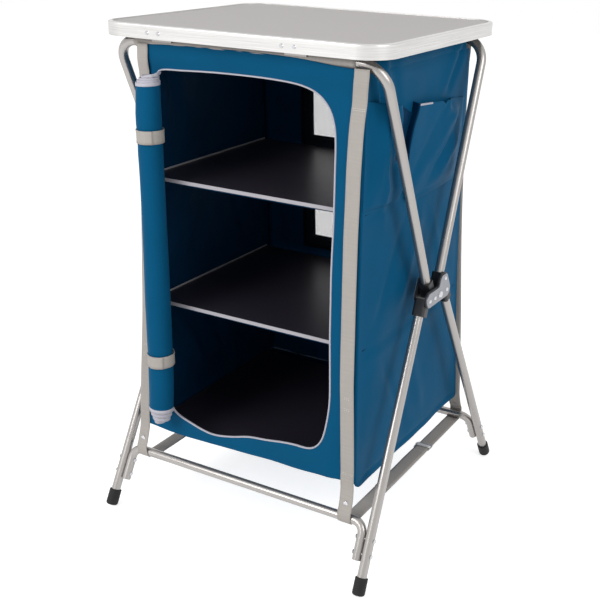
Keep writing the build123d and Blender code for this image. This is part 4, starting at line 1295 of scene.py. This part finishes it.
# Rolled door, with its middle's x and its radius as (height, value)
ROLL_BOTTOM = 0.214
ROLL_TOP = 0.9185
ROLL_HEIGHT = 0.70
ROLL_TURNS = 3.0
ROLL_PITCH = 0.0034
ROLL_CORE_TURNS = 0.75
ROLL_MIDDLES = (
    (0.21, -0.1890), (0.30, -0.1845), (0.46, -0.1845), (0.65, -0.1862), (0.76, -0.1878), (0.91, -0.1895),
)
ROLL_RADII = (
    (0.20, 0.0240), (0.27, 0.0256), (0.46, 0.0258), (0.62, 0.0246), (0.74, 0.0243), (0.84, 0.0250),
    (0.91, 0.0228),
)
BINDING_WIDTH = 0.0068
LOW_BINDING_WIDTH = 0.0100
TIE_HEIGHTS = (0.808, 0.358)
TIE_HALF = 0.0125
TIE_TURNS = 1.16


def roll_middle(z):
    """Centre (x, y) of the rolled door at a height."""
    return between(ROLL_MIDDLES, z), -(panel_y(min(z, PANEL_TOP)) + ROLL_GAP + roll_radius(z))


def roll_radius(z):
    """Outer radius of the roll, drawn in by its ties."""
    return between(ROLL_RADII, z) - sum(0.0010 * fold(z, tie, 0.018) for tie in TIE_HEIGHTS)


def roll_point(turn, run):
    """Point of the rolled door: turns in from its outer edge, and share up from its lower hem."""
    inward = min(turn / ROLL_TURNS, 1.0)
    core = max((turn - ROLL_TURNS) / ROLL_CORE_TURNS, 0.0)
    bottom = ROLL_BOTTOM + 0.031 * (1 - inward) + 0.004 * core
    top = ROLL_TOP - 0.012 * (1 - inward) + 0.001 * core
    z = bottom + (top - bottom) * run
    radius = roll_radius(z) - HALF_CLOTH - ROLL_PITCH * min(turn, ROLL_TURNS) - 0.0105 * ease(0.0, 1.0, core)
    near_bottom = 1 - ease(0.0, 0.06, z - ROLL_BOTTOM)
    radius += inward * (0.0036 * ease(0.86, 0.90, z) + 0.0010 * near_bottom)
    angle = radians(-150) + 2 * pi * turn
    radius *= 1 + 0.020 * ripple(cos(angle), sin(angle), 12 * z, 1.0, 1.1) * slack()
    x, y = roll_middle(z)
    drawn = ease(0.885, 0.925, z) * inward * inward
    return Vector((x + radius * cos(angle) + 0.0040 * drawn, y + radius * sin(angle) + 0.0030 * drawn, z))


class CUPBOARD_OT_door_roll(bpy.types.Operator):
    """Rolled-up door with bound edges, and the two bands that tie it"""

    bl_idname = "cupboard.door_roll"
    bl_label = "Rolled door"

    def execute(self, context):
        columns = spread(196, 0.0, ROLL_TURNS + ROLL_CORE_TURNS)
        low_bound = LOW_BINDING_WIDTH / ROLL_HEIGHT
        high_bound = BINDING_WIDTH / ROLL_HEIGHT
        rows = [0.0] + [low_bound * share for share in (0.5, 0.97, 1.03, 1.5)] + spread(34, 0.03, 0.97)
        rows += [1 - high_bound * share for share in (1.5, 1.03, 0.97, 0.5, 0.0)]

        def bound(run):
            return run < low_bound or run > 1 - high_bound

        points = [roll_point(turn, run) for run in rows for turn in columns]
        thick = [0.0024 if bound(run) else 0.0013 for run in rows for _ in columns]
        slots = [int(bound((low + high) / 2)) for low, high in zip(rows, rows[1:]) for _ in columns[1:]]
        halfway = len(rows) // 2 * len(columns)
        ring = points[halfway:halfway + len(columns)]
        lengths = [0.0]
        for first, second in zip(ring, ring[1:]):
            lengths.append(lengths[-1] + (second - first).length)
        uvs = [(length, points[j * len(columns)].z) for j in range(len(rows)) for length in lengths]
        roll = cloth("rolled_door", points, grid_quads(len(rows), len(columns)), thick,
                     ("blue_canvas", "light_binding"), uvs, slots=slots)
        settle(roll, "cabinet_front", "blue_canvas", "door_roll")
        self.add_tail()

        bands = []
        turns = spread(73)
        levels = spread(5, -TIE_HALF, TIE_HALF)
        for number, height in enumerate(TIE_HEIGHTS):
            spots = []
            uvs = []
            for level in levels:
                z = height + level
                x, y = roll_middle(z)
                for share in turns:
                    angle = radians(-99) + 2 * pi * TIE_TURNS * share
                    lift = 0.0013 * ease(0.84, 0.87, share)
                    uneven = 0.0003 * ripple(cos(angle), sin(angle), z * 50, 0.8)
                    radius = roll_radius(z) + 0.0013 + lift + uneven
                    spots.append(Vector((x + radius * cos(angle), y + radius * sin(angle), z)))
                    uvs.append((level, radius * angle))
            bands.append(cloth(f"band_{number}", spots, grid_quads(len(levels), len(turns)), 0.0011,
                               ["grey_webbing"], uvs))
        settle(joined("roll_bands", bands), "cabinet_front", "grey_webbing", "roll_ties")
        return {"FINISHED"}

    def add_tail(self):
        """Bound corner of the door, which twists from the roll up to the corner of the opening."""
        x, y = roll_middle(ROLL_TOP)
        start = Vector((x, y, ROLL_TOP))
        turns = ((-0.002, -0.010, -0.004), (0.010, -0.010, -0.001), (0.018, -0.001, 0.001),
                 (0.017, 0.010, 0.004))
        corner = Vector((-0.1830, -front_face(-0.1830, 0.9215) - 0.0022, 0.9215))
        count = 26
        path = even_points([start + Vector(turn) for turn in turns] + [corner], count)
        for _ in range(3):
            inner = [(a + 2 * b + c) / 4 for a, b, c in zip(path, path[1:], path[2:])]
            path = [path[0], *inner, path[-1]]
        radii = []
        for k in range(count):
            radii.append((0.0020 + 0.0016 * sin(5 * k / count * pi) ** 2, 0.0046 - 0.0016 * k / (count - 1)))
        tail = rod("door_corner_binding", path, radii, "light_binding", upright=(0.3, -0.2, 1), sides=12)
        settle(tail, "cabinet_front", "light_piping")


# Webbing


def loop_y(z):
    """Distance of a strap's lower loop from the cabinet's middle, between the hem and the crossbar."""
    return panel_y(z) + 0.0012 + 0.019 * (1 - ease(0.115, 0.186, z))


def strap_line(end, hand):
    """Middle line (y, z) of a vertical strap, from under the crossbar up to the sleeve."""
    belt = BAR_BELT_R
    line = []
    for angle in range(0, 91, 10):
        turn = radians(angle)
        line.append(Vector((end * (BAR_Y + belt * sin(turn)), BAR_Z - belt * cos(turn))))
    line += [Vector((end * (BAR_Y + belt - 0.0002), 0.124)), Vector((end * (BAR_Y + belt - 0.0012), 0.134))]
    line += [Vector((end * loop_y(z), z)) for z in spread(6, 0.142, 0.178)]
    line += [Vector((end * (panel_y(z) + STRAP_GAP), z)) for z in spread(60, 0.186, 0.905)]
    for z in spread(10, 0.913, between(FRONT_EDGE, hand * SLEEVE_HALF) + 0.0015):
        hug = (SLEEVE_Y + 0.0118 - PANEL_TOP_Y + 0.0004) * ease(0.905, 0.958, z)
        line.append(Vector((end * (panel_y(min(z, PANEL_TOP)) + STRAP_GAP + hug), z)))
    return line


def strap_surface(end, hand, across, spot):
    """Point of a strap's middle surface."""
    z = spot.y
    width = LEANING_WIDTH if (hand, end) == (LEFT, FRONT) else UPRIGHT_WIDTH
    x = strap_centre(z, hand, end) + hand * across * width / 2
    wave = 0.0005 * (ripple(x, 0, z, 0.05, 1.2) + 1) * ease(0.19, 0.25, z) * (1 - ease(0.90, 0.94, z))
    return Vector((x, spot.x + end * wave * slack(), z))


# Bar tacks of the straps, as (height, half length), and outline (radius, rise) of their snap studs
TACKS = ((0.3625, 0.0055), (0.3655, 0.0055), (0.3400, 0.0055), (0.3430, 0.0055),
         (0.206, 0.0115), (0.209, 0.0115), (0.897, 0.0115), (0.900, 0.0115))
STUD_OUTLINE = ((0.0, 0.0030), (0.0016, 0.0029), (0.0030, 0.0024), (0.0037, 0.0018), (0.0041, 0.0020),
                (0.0048, 0.0018), (0.0052, 0.0010), (0.0052, 0.0))
STUD_Z = 0.150
STUD_SIDES = 24


class CUPBOARD_OT_straps(bpy.types.Operator):
    """Four vertical straps with their bar tacks and snap studs"""

    bl_idname = "cupboard.straps"
    bl_label = "Vertical straps"

    def execute(self, context):
        columns = spread(7, -1, 1)
        for name, body, end in (("front", "cabinet_front", FRONT), ("rear", "cabinet_back", REAR)):
            for side, hand in (("left", LEFT), ("right", RIGHT)):
                line = even_points(strap_line(end, hand), 190)
                points = []
                uvs = []
                run = 0.0
                for k, spot in enumerate(line):
                    if k:
                        run += (spot - line[k - 1]).length
                    points += [strap_surface(end, hand, across, spot) for across in columns]
                    uvs += [(across * STRAP_WIDTH / 2, run) for across in columns]
                thick = [STRAP_THICK * (0.8 if abs(a) > 0.99 else 1) for _ in line for a in columns]
                strap = cloth(f"{name}_{side}_webbing", points, grid_quads(len(line), len(columns)), thick,
                              ["grey_webbing"], uvs, (0, end, 0))
                settle(strap, body, "grey_webbing", f"{name}_{side}_strap")
                rows = []
                for z, half in TACKS:
                    y = end * (panel_y(z) + STRAP_GAP + 0.0013)
                    middle = strap_centre(z, hand, end)
                    row = [Vector((middle + shift, y, z)) for shift in spread(12, -half, half)]
                    rows.append(stitch_row(f"tack_{len(rows)}", row, (0, end, 0), 0.0024, 0.0008))
                settle(joined(f"{name}_{side}_tacks", rows), body, "light_piping")
            studs = [self.stud(end, hand) for hand in (LEFT, RIGHT)]
            settle(joined(f"{name}_studs", studs), body, "rivet_steel", f"{name}_strap_studs")
        return {"FINISHED"}

    def stud(self, end, hand):
        """Domed snap stud above the crossbar."""
        y = loop_y(STUD_Z) + STRAP_THICK / 2 - 0.0002
        centre = Vector((strap_centre(STUD_Z, hand, end), end * y, STUD_Z))
        points = []
        for radius, rise in STUD_OUTLINE:
            for step in range(STUD_SIDES):
                angle = 2 * pi * step / STUD_SIDES
                shift = (radius * cos(angle), end * (rise - 0.0006), radius * sin(angle))
                points.append(centre + Vector(shift))
        faces = ring_quads(len(STUD_OUTLINE), STUD_SIDES)
        faces.append(tuple(range(len(points) - STUD_SIDES, len(points))))
        return new_piece(f"stud_{hand}", points, faces, ["rivet_metal"])


# Belts between the crossbars: how far they and their doubled ends reach in y, and their bar tacks
BELT_REACH = (-0.2448, 0.2448)
TAIL_REACH = (-0.108, 0.083)
BELT_TACKS = (-0.099, -0.102, 0.060, 0.063)
BUCKLE_Y = 0.085


class CUPBOARD_OT_bottom_straps(bpy.types.Operator):
    """Two straps between the crossbars with their slide buckles"""

    bl_idname = "cupboard.bottom_straps"
    bl_label = "Bottom straps"

    def execute(self, context):
        straps = []
        buckles = []
        columns = spread(7, -1, 1)
        for hand in (LEFT, RIGHT):

            def belt_point(y, across):
                x = hand * BELT_X + across * STRAP_WIDTH / 2
                sag = 0.0007 * cos(pi * y / 0.49) + 0.0002 * ripple(x, y, 0, 0.06, 2.9)
                return Vector((x, y, BELT_Z - sag * slack()))

            def tail_point(y, across):
                x = hand * BELT_X + across * (STRAP_WIDTH / 2 - 0.0004)
                return Vector((x, y, BELT_Z + 0.0016 + 0.0010 * fold(y, 0.02, 0.03)))

            for name, point, rows, thick in (
                ("belt", belt_point, spread(80, *BELT_REACH), STRAP_THICK),
                ("tail", tail_point, spread(40, *TAIL_REACH), 0.0013),
            ):
                straps.append(grid_cloth(f"{name}_{hand}", rows, columns, point, "xy", thick,
                                         ["grey_webbing"], (0, 0, 1)))
            for y in BELT_TACKS:
                middle = Vector((hand * BELT_X, y, BELT_Z + 0.0026))
                row = [middle + Vector((shift, 0, 0)) for shift in spread(12, -0.011, 0.011)]
                straps.append(stitch_row(f"belt_tack_{len(straps)}", row, (0, 0, 1)))
            buckles += self.buckle(hand)
        belts = settle(joined("bottom_webbing", straps), "base_straps", "grey_webbing", "bottom_straps")
        fold_flat(belts)
        settle(joined("strap_sliders", buckles), "base_straps", "rivet_steel", "slide_buckles")
        return {"FINISHED"}

    def buckle(self, hand):
        """Slider: an oval ring round the strap with a bar across its middle."""
        middle = Vector((hand * BELT_X, BUCKLE_Y, BELT_Z))
        half_x = STRAP_WIDTH / 2 + 0.0018
        half_y = 0.0125
        corner = 0.004
        line = []
        for start, x_sign, y_sign in ((0, 1, 1), (90, -1, 1), (180, -1, -1), (270, 1, -1)):
            for step in range(6):
                angle = radians(start + 18 * step)
                line.append(middle + Vector((x_sign * (half_x - corner) + corner * cos(angle),
                                             y_sign * (half_y - corner) + corner * sin(angle), 0.0008)))
        ring = rod(f"slider_ring_{hand}", line, (0.0019, 0.0014), "buckle_metal", True)
        line = [middle + Vector((shift, 0, 0.0042)) for shift in spread(9, -half_x, half_x)]
        bar = rod(f"slider_bar_{hand}", line, (0.0046, 0.0017), "buckle_bar", sides=12)
        return [ring, bar]


class CUPBOARD_PT_sidebar(bpy.types.Panel):
    """Pieces of the cupboard and their settings"""

    bl_idname = "CUPBOARD_PT_sidebar"
    bl_label = "Camping kitchen cupboard"
    bl_space_type = "VIEW_3D"
    bl_region_type = "UI"
    bl_category = "Cupboard"

    def draw(self, context):
        layout = self.layout
        for operator in OPERATORS:
            layout.operator(operator.bl_idname)
        for group in SETTINGS:
            box = layout.box()
            settings = getattr(context.scene, group)
            for name in settings.bl_rna.properties.keys():
                if name not in ("name", "rna_type"):
                    box.prop(settings, name)


SETTINGS = {
    "cupboard_fabric": FabricSettings,
    "cupboard_webbing": WebbingSettings,
    "cupboard_metal": MetalSettings,
    "cupboard_boards": BoardSettings,
    "cupboard_stage": StageSettings,
}

OPERATORS = (
    CUPBOARD_OT_stage,
    CUPBOARD_OT_worktop,
    CUPBOARD_OT_frames,
    CUPBOARD_OT_hubs,
    CUPBOARD_OT_shelves,
    CUPBOARD_OT_top_sleeves,
    CUPBOARD_OT_side_panels,
    CUPBOARD_OT_front_panel,
    CUPBOARD_OT_back_panel,
    CUPBOARD_OT_floor_and_slings,
    CUPBOARD_OT_side_pockets,
    CUPBOARD_OT_door_roll,
    CUPBOARD_OT_straps,
    CUPBOARD_OT_bottom_straps,
)


def register():
    """Add the settings, operators and panel."""
    for name, settings in SETTINGS.items():
        bpy.utils.register_class(settings)
        setattr(bpy.types.Scene, name, PointerProperty(type=settings))
    for operator in OPERATORS:
        bpy.utils.register_class(operator)
    bpy.utils.register_class(CUPBOARD_PT_sidebar)


def unregister():
    """Take the settings, operators and panel away again."""
    bpy.utils.unregister_class(CUPBOARD_PT_sidebar)
    for operator in reversed(OPERATORS):
        bpy.utils.unregister_class(operator)
    for name, settings in SETTINGS.items():
        delattr(bpy.types.Scene, name)
        bpy.utils.unregister_class(settings)


def main():
    """Dress the frame."""
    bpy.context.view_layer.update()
    register()
    make_finishes(bpy.context)
    for operator in OPERATORS:
        family, action = operator.bl_idname.split(".")
        getattr(getattr(bpy.ops, family), action)()


if __name__ == "__main__":
    main()
